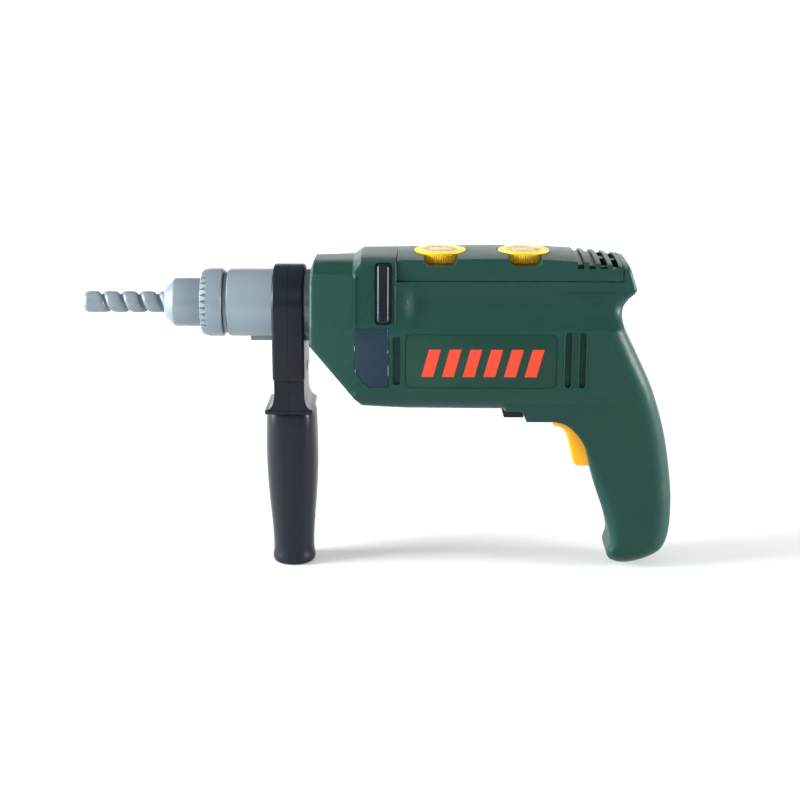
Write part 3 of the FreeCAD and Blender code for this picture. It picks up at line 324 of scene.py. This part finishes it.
# Outline from the side: x, z, edge radius and how far the rim bulges.
outline = straight([
    (-32.6, 114.3, 1.8, 0), (-32.3, 145.0, 1.4, 1.0), (-31.9, 147.4, 1.2, 3.2),
    (-30.6, 148.6, 1.0, 4.6), (-12.0, 148.8, 1.0, 4.9), (-7.9, 154.5, 0.8, 1.7),
    (cover_x[0], 154.7, 0.5, 1.6), (cover_x[0], cover_z, 0.35, 0),
    (cover_x[1], cover_z, 0.35, 0), (cover_x[1], 152.1, 0.6, 1.3),
    (117.6, 151.6, 1.4, 1.2), (118.6, 150.0, 1.8, 0.8), (121.5, 141.6, 2.4, 0.3)])
outline += bent([
    (121.5, 141.6, 2.4, 0.3), (120.8, 139.2, 3.5, 0.3), (117.6, 135.4, 5.5, 0.5),
    (115.4, 130.6, 6.5, 0.5), (116.2, 123.0, 7.0, 0.5), (121.9, 111.0, 7.5, 0.5),
    (130.7, 92.0, 8.5, 0.5), (138.2, 67.8, 9.5, 0.5), (142.5, 43.2, 10, 0.4),
    (143.3, 27.0, 10, 0.3), (142.0, 15.6, 9.5, 0.3), (138.6, 8.6, 8.5, 0),
    (132.4, 4.6, 7.5, 0), (125.0, 1.6, 7.5, 0), (119.4, 1.0, 7.5, 0), (115.2, 2.8, 6, 0),
    (112.6, 5.8, 4.5, 0), (112.2, 8.8, 4, 0), (113.5, 13.4, 4.5, 0), (112.8, 19.0, 5.5, 0),
    (110.0, 28.6, 6.5, 0), (105.8, 40.6, 6, 0), (102.9, 50.5, 4.5, 0),
    (100.5, 60.1, 2.4, 0), (98.5, 65.4, 1.6, 0), (94.6, 71.2, 1.4, 0),
    (90.0, 75.4, 1.3, 0), (84.7, 77.3, 1.2, 0)])
outline += straight([
    (84.7, 77.3, 1.2, 0), (70.8, 77.3, 1.2, 0), (68.4, 83.0, 1.0, 0),
    (14.0, 83.6, 1.2, 0), (-7.8, 85.2, 2.0, 0), (-32.6, 114.3, 1.8, 0)])


# Half the width of the grip by height.
grip_widths = [(0, 9.2), (2, 11.6), (5, 13.8), (9, 15.2), (14, 16.1), (30, 16.2), (45, 16.8),
               (60, 18.8), (76, 22.4), (86, 25.2), (96, 27.4), (106, 28.6), (113, 29.0)]


def half_width(x, z):
    """Distance from the middle plane to the side of the drill."""
    high = max(0.0, z - shoulder_z)
    slanted = widest - high * slant_in / slant_up
    climb = min(1.0, high / cove_height)
    depth = mix(1.9, 4.6, ease(30, 114, x))
    coved = widest - cove_setback * climb - depth * 4 * climb * (1 - climb)
    coved -= max(0.0, z - 141) * 0.03
    side = mix(slanted, coved, ease(10.4, 19.0, x))
    if z < shoulder_z:
        side = widest - (shoulder_z - z) * draft
    grip = run_through(z, grip_widths)
    if z < panel_z:
        fall = min(1.0, (panel_z - z) / belly_height)
        belly = side - belly_tuck * (1 - math.sqrt(max(0.0, 1 - fall * fall)))
        side = max(belly, grip) if x > 60 else belly
    if z < 113:
        side = mix(side, grip, ease(92, 118, x))
    if x < -11:
        side = slanted if z > shoulder_z else widest - (shoulder_z - z) * draft
        side -= 1.1 + 3.4 * (-11 - x) / 22
    elif x < 8.8 and z > shoulder_z:
        side += 0.45 if x < -10.2 or x > 8.0 else 0.15
    return min(side, widest - 0.05)


def half_shell(edge, rings=6, rim_rows=9, spacing=1.7):
    """Open half shell over the outline: rounded edge, side and rim."""
    count = len(edge)
    inward = []
    for i in range(count):
        ax, az = edge[i - 1][:2]
        bx, bz = edge[i][:2]
        cx, cz = edge[(i + 1) % count][:2]
        one = Vector((az - bz, bx - ax)).normalized()
        two = Vector((bz - cz, cx - bx)).normalized()
        way = (one + two).normalized()
        inward.append(-way / max(0.5, way.dot(one)))
    verts = []
    faces = []
    for j in range(rim_rows):
        share = j / rim_rows
        for (x, z, r, bulge), way in zip(edge, inward):
            out = bulge * (1 - share ** 4)
            if z > 142 and x < 118:
                way = Vector((0, -1))
            verts.append((x - way.x * out, share * (half_width(x, z) - r), z - way.y * out))
    for j in range(rings + 1):
        turn = math.pi / 2 * j / rings
        for (x, z, r, bulge), way in zip(edge, inward):
            step = r * (1 - math.cos(turn))
            px = x + way.x * step
            pz = z + way.y * step
            verts.append((px, half_width(px, pz) - r * (1 - math.sin(turn)), pz))
    rows = rim_rows + rings
    for j in range(rows):
        for i in range(count):
            n = (i + 1) % count
            faces.append((j * count + i, j * count + n, (j + 1) * count + n, (j + 1) * count + i))
    start = rows * count
    loop = [Vector((verts[start + i][0], verts[start + i][2])) for i in range(count)]
    levels = []
    z = 1.0
    while z < 156:
        levels.append(z)
        z += spacing if not 82 < z < 90 else 0.8
    for crease in (shoulder_z, shoulder_z - 0.35, shoulder_z + 0.35, 141.0, 140.6, 141.4):
        levels.append(crease)
    columns = [-33 + spacing * k for k in range(int(178 / spacing))]
    columns += [-11.15, -11.0, -10.25, -10.15, 7.95, 8.05, 8.8, 8.95]
    keep = []
    for z in levels:
        for x in columns:
            crossings = 0
            near = False
            for a, b in zip(loop, loop[1:] + loop[:1]):
                if (a.y > z) != (b.y > z):
                    if x < a.x + (b.x - a.x) * (z - a.y) / (b.y - a.y):
                        crossings += 1
                if abs(a.x - x) < 0.6 and abs(a.y - z) < 0.6:
                    near = True
            if crossings % 2 and not near:
                keep.append(Vector((x, z)))
    ring = list(range(count))
    out = delaunay_2d_cdt(loop + keep, [], [ring], 1, 1e-5)
    where = {}
    for k, origins in enumerate(out[3]):
        if origins and min(origins) < count:
            where[k] = start + min(origins)
        else:
            where[k] = len(verts)
            spot = out[0][k]
            verts.append((spot.x, half_width(spot.x, spot.y), spot.y))
    for face in out[2]:
        faces.append(tuple(where[k] for k in face))
    return verts, faces


def tidy_normals(piece):
    """Merge doubled points and turn every face outward."""
    only(piece)
    bpy.ops.object.mode_set(mode="EDIT")
    bpy.ops.mesh.select_all(action="SELECT")
    bpy.ops.mesh.remove_doubles(threshold=1e-6)
    bpy.ops.mesh.normals_make_consistent(inside=False)
    bpy.ops.object.mode_set(mode="OBJECT")


def from_points(name, points, faces, edges=()):
    """A new object from points in millimetres."""
    data = bpy.data.meshes.new(name)
    data.from_pydata([Vector(p) * MM for p in points], list(edges), faces)
    piece = bpy.data.objects.new(name, data)
    bpy.context.scene.collection.objects.link(piece)
    return piece


def shell_piece(name, side):
    """Make one half shell on its side of the middle plane, with its wall."""
    verts, faces = half_shell(outline)
    piece = from_points(name, [(x, side * y, z) for x, y, z in verts], faces)
    tidy_normals(piece)
    data = piece.data
    middle = min(data.polygons, key=lambda f: (f.center - Vector((0.05, side * 0.029, 0.11))).length)
    if middle.normal.y * side < 0:
        data.flip_normals()
    apply(piece, "SOLIDIFY", thickness=wall * MM, offset=-1.0, use_even_offset=False)
    return piece


def rounded(x0, x1, z0, z1, r, steps=6):
    """Rounded rectangle as x and z, anticlockwise."""
    spots = []
    for cx, cz, first in ((x1 - r, z1 - r, 0), (x0 + r, z1 - r, 90), (x0 + r, z0 + r, 180),
                          (x1 - r, z0 + r, 270)):
        for k in range(steps + 1):
            turn = math.radians(first + 90 * k / steps)
            spots.append((cx + r * math.cos(turn), cz + r * math.sin(turn)))
    return spots


def slab(name, points):
    """A solid between two loops of points, the second given after the first."""
    count = len(points) // 2
    faces = [tuple(range(count)), tuple(range(2 * count - 1, count - 1, -1))]
    faces += [(i, (i + 1) % count, count + (i + 1) % count, count + i) for i in range(count)]
    piece = from_points(name, points, faces)
    tidy_normals(piece)
    return piece


def pad(name, spots, low, high, side):
    """A slab lying on the drill's side between two heights off its surface."""
    return slab(name, [(x, side * (half_width(x, z) + level), z)
                       for level in (low, high) for x, z in spots])


def plate(name, spots, y0, y1):
    """A side-view outline made solid between two y."""
    return slab(name, [(x, y, z) for y in (y0, y1) for x, z in spots])


def soften(piece, width, segments=3, angle=40):
    """Round the piece's sharp edges a little."""
    apply(piece, "BEVEL", width=width * MM, segments=segments, limit_method="ANGLE",
          angle_limit=math.radians(angle))
    return piece


spindle_z = 131.0
neck_hole = 16.5
screw_post = 4.1
screw_hole = 3.1
lens_edge = [(-11.0, 104.5), (-11.0, 124.2), (5.1, 124.2), (5.1, 95.9), (-4.4, 95.9), (-7.0, 98.0)]
strip_edge = rounded(-1.4, 6.8, 125.9, 154.3, 1.7)
label_edge = rounded(12.8, 84.2, 95.5, 121.7, 3.0)
blind_edge = rounded(7.0, 10.6, 97.2, 120.1, 0.9)
screw_spots = [(-18, 146.4), (-18, 112), (52, 92), (72, 126), (108, 131), (128, 82), (126, 7.4)]
textured_green = moulded("textured_green", green_plastic, shine=0.17)
for side, name in ((-1, "left"), (1, "right")):
    shell = shell_piece(name + "_body", side)
    carve(shell, rod("x", neck_hole, -40, -18, 0, spindle_z, 96))
    carve(shell, pad("cutter", lens_edge, -1.1, 3, side))
    carve(shell, pad("cutter", strip_edge, -1.2, 3, side))
    carve(shell, pad("cutter", label_edge, -0.35, 3, side))
    carve(shell, pad("cutter", blind_edge, -1.2, 3, side))
    for x in (87.9, 94.6):
        rim = pad("rim", rounded(x - 0.5, x + 3.5, 95.5, 123.1, 1.9), -1.0, 0.3, side)
        carve(shell, soften(rim, 0.25, 2), "UNION")
        carve(shell, pad("cutter", rounded(x, x + 3.0, 96.0, 122.6, 1.45), -1.35, 3, side))
    carve(shell, plate("cutter", [(83.9, 84), (83.9, 76), (84.6, 70), (92, 60), (94.5, 50.4),
                                  (112, 50.4), (112, 84)], -7.4, 7.4))
    carve(shell, cube(55.6, 69.6, -7.6, 7.6, 74, 87))
    if side > 0:
        for x, z in screw_spots:
            carve(shell, rod("y", screw_post, 6, half_width(x, z) - 1, x, z, 32), "UNION")
            carve(shell, rod("y", screw_hole, 5, 40, x, z, 32))
        hatch = cube(-12, 12, 10, 40, -27, 27)
        hatch.rotation_euler = (0, -math.radians(9), 0)
        hatch.location = Vector((127, 0, 38)) * MM
        carve(shell, hatch)
    finish_piece(shell, name + "_body", "housing", textured_green,
                 [name + "_housing"])

# ------------------------------------------------------------- top cover
# The lid over the electronics: low crown, two round wells with notches for
# the thumb, four cross grooves at the back of which two are open.
crease_line = [(8, 155.0), (20, 155.2), (40, 155.6), (60, 155.8), (76, 155.5), (92, 154.7),
               (105, 153.6), (118, 151.8)]
dial_places = (29.3, 69.0)
dial_radius = 12.3
dial_gap = 0.45
x_front, x_back = cover_x[0] + 0.25, cover_x[1] - 0.3
lid_edge = 0.7
crown = 1.3
rows = 64
points = []
for i in range(rows + 1):
    x = mix(x_front, x_back, i / rows)
    crest = run_through(x, crease_line)
    ring = []
    for k in range(5):
        z = mix(cover_z + 0.35, crest - lid_edge, k / 5)
        ring.append((half_width(60, z) + 0.1 if k else half_width(60, z), z))
    w = half_width(60, crest)
    for k in range(4):
        turn = math.radians(90 * k / 4)
        ring.append((w - lid_edge * (1 - math.cos(turn)), crest - lid_edge * (1 - math.sin(turn))))
    for k in range(13):
        share = (w - lid_edge) * (1 - k / 12)
        ring.append((share, crest + crown * (1 - (share / w) ** 2)))
    points += [(x, -y, z) for y, z in ring] + [(x, y, z) for y, z in reversed(ring[:-1])]
around = len(points) // (rows + 1)
faces = [tuple(range(around)), tuple(range(rows * around + around - 1, rows * around - 1, -1))]
for i in range(rows):
    for k in range(around):
        n = (k + 1) % around
        faces.append((i * around + k, i * around + n, (i + 1) * around + n, (i + 1) * around + k))
lid = from_points("lid", points, faces)
tidy_normals(lid)
carve(lid, cube(x_front + 1.8, x_back - 1.8, -20.4, 20.4, 140, 149.4))
for x in dial_places:
    carve(lid, rod("z", dial_radius + dial_gap, 150.9, 170, x, 0, 128))
    for side in (-1, 1):
        notch = cube(x - 7.9, x + 7.9, side * 6, side * 40, 152.4, 165, 3.2, "y")
        carve(lid, notch)
groove_width = 3.0
groove_pitch = 5.4
for k in range(4):
    x = 93.2 + groove_pitch * k
    crest = run_through(x + 1.4, crease_line)
    floor = [(30, 151.6), (20.9, 151.6), (20.6, crest - 1.1), (14, crest - 0.6), (7, crest - 0.2),
             (0, crest - 0.1), (-7, crest - 0.2), (-14, crest - 0.6), (-20.6, crest - 1.1),
             (-20.9, 151.6), (-30, 151.6), (-30, 165), (30, 165)]
    carve(lid, slab("groove", [(x + dx, y, z) for dx in (0, groove_width) for y, z in floor]))
    if k > 1:
        for side in (-1, 1):
            carve(lid, cube(x, x + groove_width, side * 3.5, side * 18.8, 140, 165))
soften(lid, 0.35, 2, 50)
finish_piece(lid, "lid", "housing", textured_green, ["top_cover"])

# ------------------------------------------- windows, grip strips and labels
# Each side has a smoked window with one corner cut off, a rounded black
# strip over the shoulder, and a printed film with slanting red bars.
smoked = moulded("smoked_clear", (0.012, 0.027, 0.040), 0.16, 700, 0.00002, 0.25, 0.14)
gloss_black = moulded("gloss_black", (0.006, 0.009, 0.014), 0.30, 500, 0.00001, 0.05, 0.20)
film_green = moulded("film_green", (0.011, 0.038, 0.028), 0.20, 120, 0.00016, 0.22, 0.12)
print_red = moulded("print_red", (0.55, 0.046, 0.020), 0.32, 900, 0.00002, 0.06, 0.25)
worn_clear = moulded("worn_clear", (0.11, 0.14, 0.15), 0.5, 900, 0.00005, 0.3)
for side, name in ((-1, "left"), (1, "right")):
    window = pad("window", [(x + 0.15 * (1 if x < 0 else -1), z + 0.15 * (1 if z < 110 else -1))
                            for x, z in lens_edge], -1.1, 0.15, side)
    soften(window, 0.45, 3)
    finish_piece(window, name + "_window", "housing", smoked, [name + "_lens"])
    chips = None
    for x, z, long in ((-10.9, 114.6, 2.6), (-10.5, 103.8, 1.8), (4.8, 113.2, 1.6),
                       (4.9, 104.0, 5.0)):
        chip = pad("chip", rounded(x - 0.25, x + 0.25, z - long / 2, z + long / 2, 0.2, 2),
                   -0.3, 0.25, side)
        if chips is None:
            chips = chip
        else:
            carve(chips, chip, "UNION")
    finish_piece(chips, name + "_window_clips", "housing", worn_clear)
    strip = pad("strip", rounded(-0.4, 5.4, 126.5, 153.9, 1.7), -2.2, 1.2, side)
    soften(strip, 1.6, 7, 60)
    finish_piece(strip, name + "_grip_strip", "housing", gloss_black,
                 [name + "_side_strip"])
    film = pad("film", rounded(13.1, 83.9, 95.8, 121.4, 2.8), -0.5, -0.12, side)
    soften(film, 0.12, 2)
    finish_piece(film, name + "_film", "housing", film_green, [name + "_label"])
    bars = None
    for k in range(6):
        x = 20.5 + 9.7 * k
        bar = pad("bar", [(x, 101.1), (x + 5.6, 101.1), (x + 9.2, 114.3), (x + 3.6, 114.3)],
                  -0.2, -0.05, side)
        if bars is None:
            bars = bar
        else:
            carve(bars, bar, "UNION")
    finish_piece(bars, name + "_film_print", "housing", print_red)

# ------------------------------------------------------- neck, chuck and bit
# Turned shapes in silver-grey plastic on the spindle line: the fixed neck
# with its key rib, the toothed ring, the nose and the twisted bit.  A turned
# profile is a closed line of place and radius.
silver = moulded("silver_grey", (0.165, 0.208, 0.236), 0.34, 1500, 0.00003, 0.10, 0.3)
silver.node_tree.nodes["Principled BSDF"].inputs["Metallic"].default_value = 0.25


def turned(name, profile, steps=128):
    """Spin a profile of place and radius round the spindle line."""
    points = [(x, 0, spindle_z + r) for x, r in profile]
    piece = from_points(name, points, [], [(i, i + 1) for i in range(len(points) - 1)])
    only(piece)
    bpy.ops.object.mode_set(mode="EDIT")
    bpy.ops.mesh.select_all(action="SELECT")
    bpy.ops.mesh.spin(steps=steps, angle=2 * math.pi, center=(0, 0, spindle_z * MM),
                      axis=(1, 0, 0))
    bpy.ops.object.mode_set(mode="OBJECT")
    tidy_normals(piece)
    return piece


neck = turned("neck", [(-74.1, 11.0), (-74.1, 14.9), (-72.7, 14.9), (-72.6, 15.5), (-72.0, 16.2),
                       (-71.3, 16.4), (-23.5, 16.4), (-23.5, 11.0), (-74.1, 11.0)])
carve(neck, cube(-62.3, -24, -2.5, 2.5, 112.6, 118, 0.9, "y"), "UNION")
for side in (-1, 1):
    carve(neck, cube(-35.6, -23, side * 15.7, side * 18, 133.0, 133.35))
finish_piece(neck, "neck", "housing", silver, ["neck_sleeve"])

ring = turned("ring", [(-85.1, 11.9), (-85.1, 15.1), (-84.8, 15.5), (-82.2, 16.4), (-81.8, 16.5),
                       (-75.1, 16.5), (-74.7, 16.2), (-74.6, 15.8), (-74.6, 11.9), (-85.1, 11.9)])
teeth = None
tooth_count = 32
for k in range(tooth_count):
    cutter = cube(-90, -82.2, -0.85, 0.85, -0.85, 0.85)
    cutter.data.transform(Matrix.Rotation(math.pi / 4, 4, "X"))
    cutter.data.transform(Matrix.Translation((0, 0, 16.5 * MM)))
    cutter.data.transform(Matrix.Rotation(2 * math.pi * k / tooth_count, 4, "X"))
    cutter.data.transform(Matrix.Translation((0, 0, spindle_z * MM)))
    cutter.select_set(True)
    if teeth is not None:
        teeth.select_set(True)
        bpy.context.view_layer.objects.active = teeth
        bpy.ops.object.join()
    else:
        teeth = cutter
carve(ring, teeth)
finish_piece(ring, "toothed_ring", "spindle", silver, ["chuck_ring"], 28)

nose = turned("nose", [(-103.4, 3.0), (-103.4, 6.8), (-103.1, 7.6), (-102.2, 8.7), (-100.2, 10.4),
                       (-99.2, 11.2), (-98.6, 11.6), (-98.0, 11.75), (-84.7, 11.75), (-84.7, 3.0),
                       (-103.4, 3.0)])
soften(nose, 0.3, 3, 20)
finish_piece(nose, "nose", "spindle", silver, ["chuck_nose"])

steps_round = 96
lengths = 300
bit_front = -143.65
bit_radius = 5.2
twist_pitch = 8.9
# A rounded dent winds round the bit and fades out towards the blunt tip.
points = []
for i in range(lengths + 1):
    x = mix(bit_front, -102.8, i / lengths)
    tip = min(1.0, (x - bit_front) / 3.6)
    radius = bit_radius * math.sqrt(max(0.0, 1 - (1 - tip) ** 2.4))
    for k in range(steps_round):
        turn = 2 * math.pi * k / steps_round
        phase = ((x + 133.9) / twist_pitch - k / steps_round) % 1.0
        away = min(phase, 1 - phase) * twist_pitch
        dent = 1.15 * math.exp(-(away / 0.85) ** 2)
        swell = 0.35 * (1 - math.exp(-(away / 2.2) ** 2))
        fade = ease(-137.2, -134.2, x)
        r = max(0.02, radius - fade * (dent + 0.3 - swell))
        points.append((x, -r * math.sin(turn), spindle_z + r * math.cos(turn)))
faces = [tuple(range(steps_round)),
         tuple(range(lengths * steps_round + steps_round - 1, lengths * steps_round - 1, -1))]
for i in range(lengths):
    for k in range(steps_round):
        n = (k + 1) % steps_round
        a = i * steps_round
        faces.append((a + k, a + n, a + steps_round + n, a + steps_round + k))
bit = from_points("bit", points, faces)
tidy_normals(bit)
finish_piece(bit, "twist_bit", "spindle", silver, ["drill_bit"], 50)

# ------------------------------------------------------------- side handle
# Front and rear shells in glossy black plastic: a ring round the neck,
# straight cheeks, a square stem that flares to a flange, and a swelling barrel.
# It is built whole and cut in two, and two screws hold the real halves.
middle_x = -43.0


def barrel_ring(z, a, b, power, count=72):
    """Superellipse of half sizes a, b at one height."""
    ring = []
    for k in range(count):
        turn = 2 * math.pi * k / count
        c = math.cos(turn)
        s = math.sin(turn)
        r = (abs(c) ** power + abs(s) ** power) ** (-1 / power)
        ring.append((middle_x + a * r * c, b * r * s, z))
    return ring


# Height, half length, half width and squareness of each ring of the barrel.
levels = [(0.02, 9.4, 10.2, 2.1), (0.5, 10.1, 10.9, 2.1), (1.6, 10.6, 11.4, 2.1),
          (3.6, 10.6, 11.5, 2.1), (5.4, 10.15, 11.1, 2.1), (8, 10.0, 11.0, 2.1),
          (16, 10.2, 11.6, 2.2), (28, 11.3, 12.8, 2.3), (40, 12.2, 14.0, 2.4),
          (52, 12.7, 15.0, 2.6), (64, 12.6, 15.4, 2.8), (78, 12.0, 15.5, 3.2),
          (79.6, 11.9, 15.5, 3.2)]
points = []
for level in levels:
    points += barrel_ring(*level)
count = 72
faces = [tuple(range(count)), tuple(range(len(points) - 1, len(points) - count - 1, -1))]
for i in range(len(levels) - 1):
    for k in range(count):
        n = (k + 1) % count
        faces.append((i * count + k, i * count + n, (i + 1) * count + n, (i + 1) * count + k))
grip_bar = from_points("grip_bar", points, faces)
tidy_normals(grip_bar)
apply(grip_bar, "SUBSURF", levels=1)
flange = cube(middle_x - 12.0, middle_x + 11.4, -16.2, 16.2, 78.8, 81.2, 3.0, "z")
soften(flange, 0.9, 4, 60)
carve(grip_bar, flange, "UNION")
stem = cube(middle_x - 7.2, middle_x + 7.3, -15.8, 15.8, 79.5, 100, 1.6, "z")
carve(grip_bar, stem, "UNION")
flare = [(11.2, 80.9), (9.7, 81.6), (8.5, 82.9), (7.7, 84.9), (7.2, 88.0)]
skirt = plate("skirt", [(middle_x - d, z) for d, z in flare]
              + [(middle_x + d, z) for d, z in reversed(flare)]
              + [(middle_x + 11.2, 79.6), (middle_x - 11.2, 79.6)], -15.7, 15.7)
carve(grip_bar, skirt, "UNION")
strap_radius = 18.85
strap_half = 7.7
arch = [(strap_radius * math.cos(math.pi * k / 48),
         spindle_z + strap_radius * math.sin(math.pi * k / 48)) for k in range(49)]
arch = [(strap_radius, 96.0)] + arch + [(-strap_radius, 96.0)]
strap = slab("strap", [(x, y, z) for x in (middle_x - strap_half, middle_x + strap_half)
                       for y, z in arch])
soften(strap, 1.4, 5, 50)
carve(grip_bar, strap, "UNION")
carve(grip_bar, rod("x", 16.85, -60, -20, 0, spindle_z, 128))
carve(grip_bar, cube(-60, -20, -2.9, 2.9, 112.2, 118))
for z in (24, 100):
    carve(grip_bar, rod("x", 3.1, middle_x + 3, middle_x + 20, 0, z, 32))
for half, name, node_name in ((-1, "front_handle_half", "front_handle_shell"),
                              (1, "rear_handle_half", "rear_handle_shell")):
    only(grip_bar)
    bpy.ops.object.duplicate()
    shell = bpy.context.object
    bpy.ops.object.mode_set(mode="EDIT")
    bpy.ops.mesh.select_all(action="SELECT")
    bpy.ops.mesh.bisect(plane_co=((middle_x + 0.06 * half) * MM, 0, 0), plane_no=(1, 0, 0),
                        use_fill=True, clear_inner=half > 0, clear_outer=half < 0)
    bpy.ops.mesh.select_all(action="SELECT")
    bpy.ops.mesh.normals_make_consistent(inside=False)
    bpy.ops.object.mode_set(mode="OBJECT")
    finish_piece(shell, name, "side_handle", gloss_black, [node_name])
bpy.data.objects.remove(grip_bar, do_unlink=True)

# ----------------------------------------------------------------- dials
# Two yellow thumb wheels with a fine-ribbed rim, a bevelled ring and a
# scale of short strokes round a slightly sunken face.
bright_yellow = moulded("bright_yellow", (0.98, 0.55, 0.026), 0.35, 1600, 0.00003, 0.06, 0.25)
pale_yellow = moulded("pale_yellow", (0.50, 0.38, 0.19), 0.33, 1600, 0.00003, 0.05, 0.25)
scale_brown = moulded("scale_brown", (0.22, 0.16, 0.10), 0.5, 1600, 0.00003, 0.10)
for x, name in zip(dial_places, ("front", "rear")):
    ribs = 72
    rib_depth = 0.972
    wheel = rod("z", dial_radius, 151.5, 156.3, x, 0, ribs * 2)
    for vertex in wheel.data.vertices:
        flat = Vector((vertex.co.x - x * MM, vertex.co.y))
        step = round(math.atan2(flat.y, flat.x) / (math.pi / ribs)) % 2
        if step:
            vertex.co.x = x * MM + flat.x * rib_depth
            vertex.co.y = flat.y * rib_depth
    cap = rod("z", dial_radius, 156.2, 157.35, x, 0, 128)
    soften(cap, 0.75, 4, 60)
    carve(wheel, cap, "UNION")
    carve(wheel, rod("z", 8.7, 157.0, 159, x, 0, 96))
    finish_piece(wheel, name + "_wheel", name + "_dial_knob", bright_yellow,
                 [name + "_dial"], 25)
    face = rod("z", 8.45, 156.9, 157.15, x, 0, 96)
    soften(face, 0.1, 2, 60)
    finish_piece(face, name + "_wheel_face", name + "_dial_knob", pale_yellow)
    marks = None
    for k in range(12):
        long = 2.2 if k % 3 == 0 else 1.3
        mark = cube(7.6 - long, 7.6, -0.22, 0.22, 157.1, 157.25)
        mark.data.transform(Matrix.Translation((x * MM, 0, 0))
                            @ Matrix.Rotation(math.pi * k / 6, 4, "Z"))
        mark.select_set(True)
        if marks is not None:
            marks.select_set(True)
            bpy.context.view_layer.objects.active = marks
            bpy.ops.object.join()
        else:
            marks = mark
    rim_line = rod("z", 8.72, 156.85, 157.08, x, 0, 96)
    carve(marks, rim_line, "UNION")
    finish_piece(marks, name + "_wheel_scale", name + "_dial_knob", scale_brown)

# ------------------------------------------------------ trigger and slider
# The yellow trigger hangs in front of the grip, behind a small boss; the
# black slider sits just ahead of the boss under the belly.
trigger_yellow = moulded("trigger_yellow", (0.93, 0.42, 0.018), 0.36, 1600, 0.00003, 0.0, 0.25)
blade = plate("blade", [(84.4, 80), (84.4, 72.4), (84.9, 71.3), (86.2, 70.9), (88.0, 70.6),
                        (89.8, 69.4), (91.2, 67.0), (92.0, 64.2), (93.0, 60.0), (94.2, 55.0),
                        (95.0, 52.4), (95.8, 51.4), (96.8, 51.1), (107.0, 51.1), (104.6, 62),
                        (101, 71), (95.4, 79), (94, 84), (86, 84)], -7.0, 7.0)
soften(blade, 1.1, 4, 50)
finish_piece(blade, "finger_trigger", "trigger_lever", trigger_yellow,
             ["trigger"])
slider = plate("slider", [(60.6, 75.6), (58.6, 82.6), (58.6, 86.0), (70.2, 86.0), (70.2, 75.6)],
               -7.2, 7.2)
soften(slider, 0.5, 3, 50)
finish_piece(slider, "thumb_slider", "mode_slider", gloss_black, ["slide_switch"])

# ----------------------------------------------- parts shown as they were cut
# Screws, the battery door and everything inside keep their construction
# shape and get their finish here.
screw_steel = moulded("screw_steel", (0.42, 0.42, 0.43), 0.30, 2200, 0.00002, 0.12)
screw_steel.node_tree.nodes["Principled BSDF"].inputs["Metallic"].default_value = 0.95
bronze = moulded("bush_bronze", (0.48, 0.27, 0.12), 0.34, 2200, 0.00002, 0.15)
bronze.node_tree.nodes["Principled BSDF"].inputs["Metallic"].default_value = 0.9
gear_white = moulded("gear_white", (0.78, 0.76, 0.70), 0.42, 1800, 0.00003, 0.05)
board_green = moulded("board_green", (0.02, 0.14, 0.05), 0.38, 400, 0.00005, 0.3)
cell_wrap = moulded("cell_wrap", (0.12, 0.14, 0.45), 0.25, 300, 0.00004, 0.12, 0.4)
lamp_red = moulded("lamp_red", (0.75, 0.03, 0.02), 0.15, 600, 0.00001, 0.1, 0.6)
speaker_paper = moulded("speaker_paper", (0.02, 0.02, 0.022), 0.6, 1100, 0.0002, 0.3)
looks = {
    "housing_screws": screw_steel, "handle_screws": screw_steel, "door_screw": screw_steel,
    "battery_door": textured_green, "spindle_shaft": screw_steel, "idler_axle": screw_steel,
    "trigger_pin": screw_steel, "trigger_spring": screw_steel, "motor_can": screw_steel,
    "motor_rotor": screw_steel, "battery_contacts": screw_steel, "motor_end_cap": gear_white,
    "motor_pinion": bronze, "front_bush": bronze, "front_plate_bush": bronze,
    "rear_plate_bush": bronze, "idler_gear": gear_white, "output_gear": gear_white,
    "front_gear_plate": silver, "rear_gear_plate": silver, "front_dial_washer": gear_white,
    "rear_dial_washer": gear_white, "circuit_board": board_green, "battery_cells": cell_wrap,
    "lamp": lamp_red, "speaker": speaker_paper, "trigger_switch": gloss_black,
}
for node_name, look in looks.items():
    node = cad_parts[node_name]
    node.data.materials.clear()
    node.data.materials.append(look)
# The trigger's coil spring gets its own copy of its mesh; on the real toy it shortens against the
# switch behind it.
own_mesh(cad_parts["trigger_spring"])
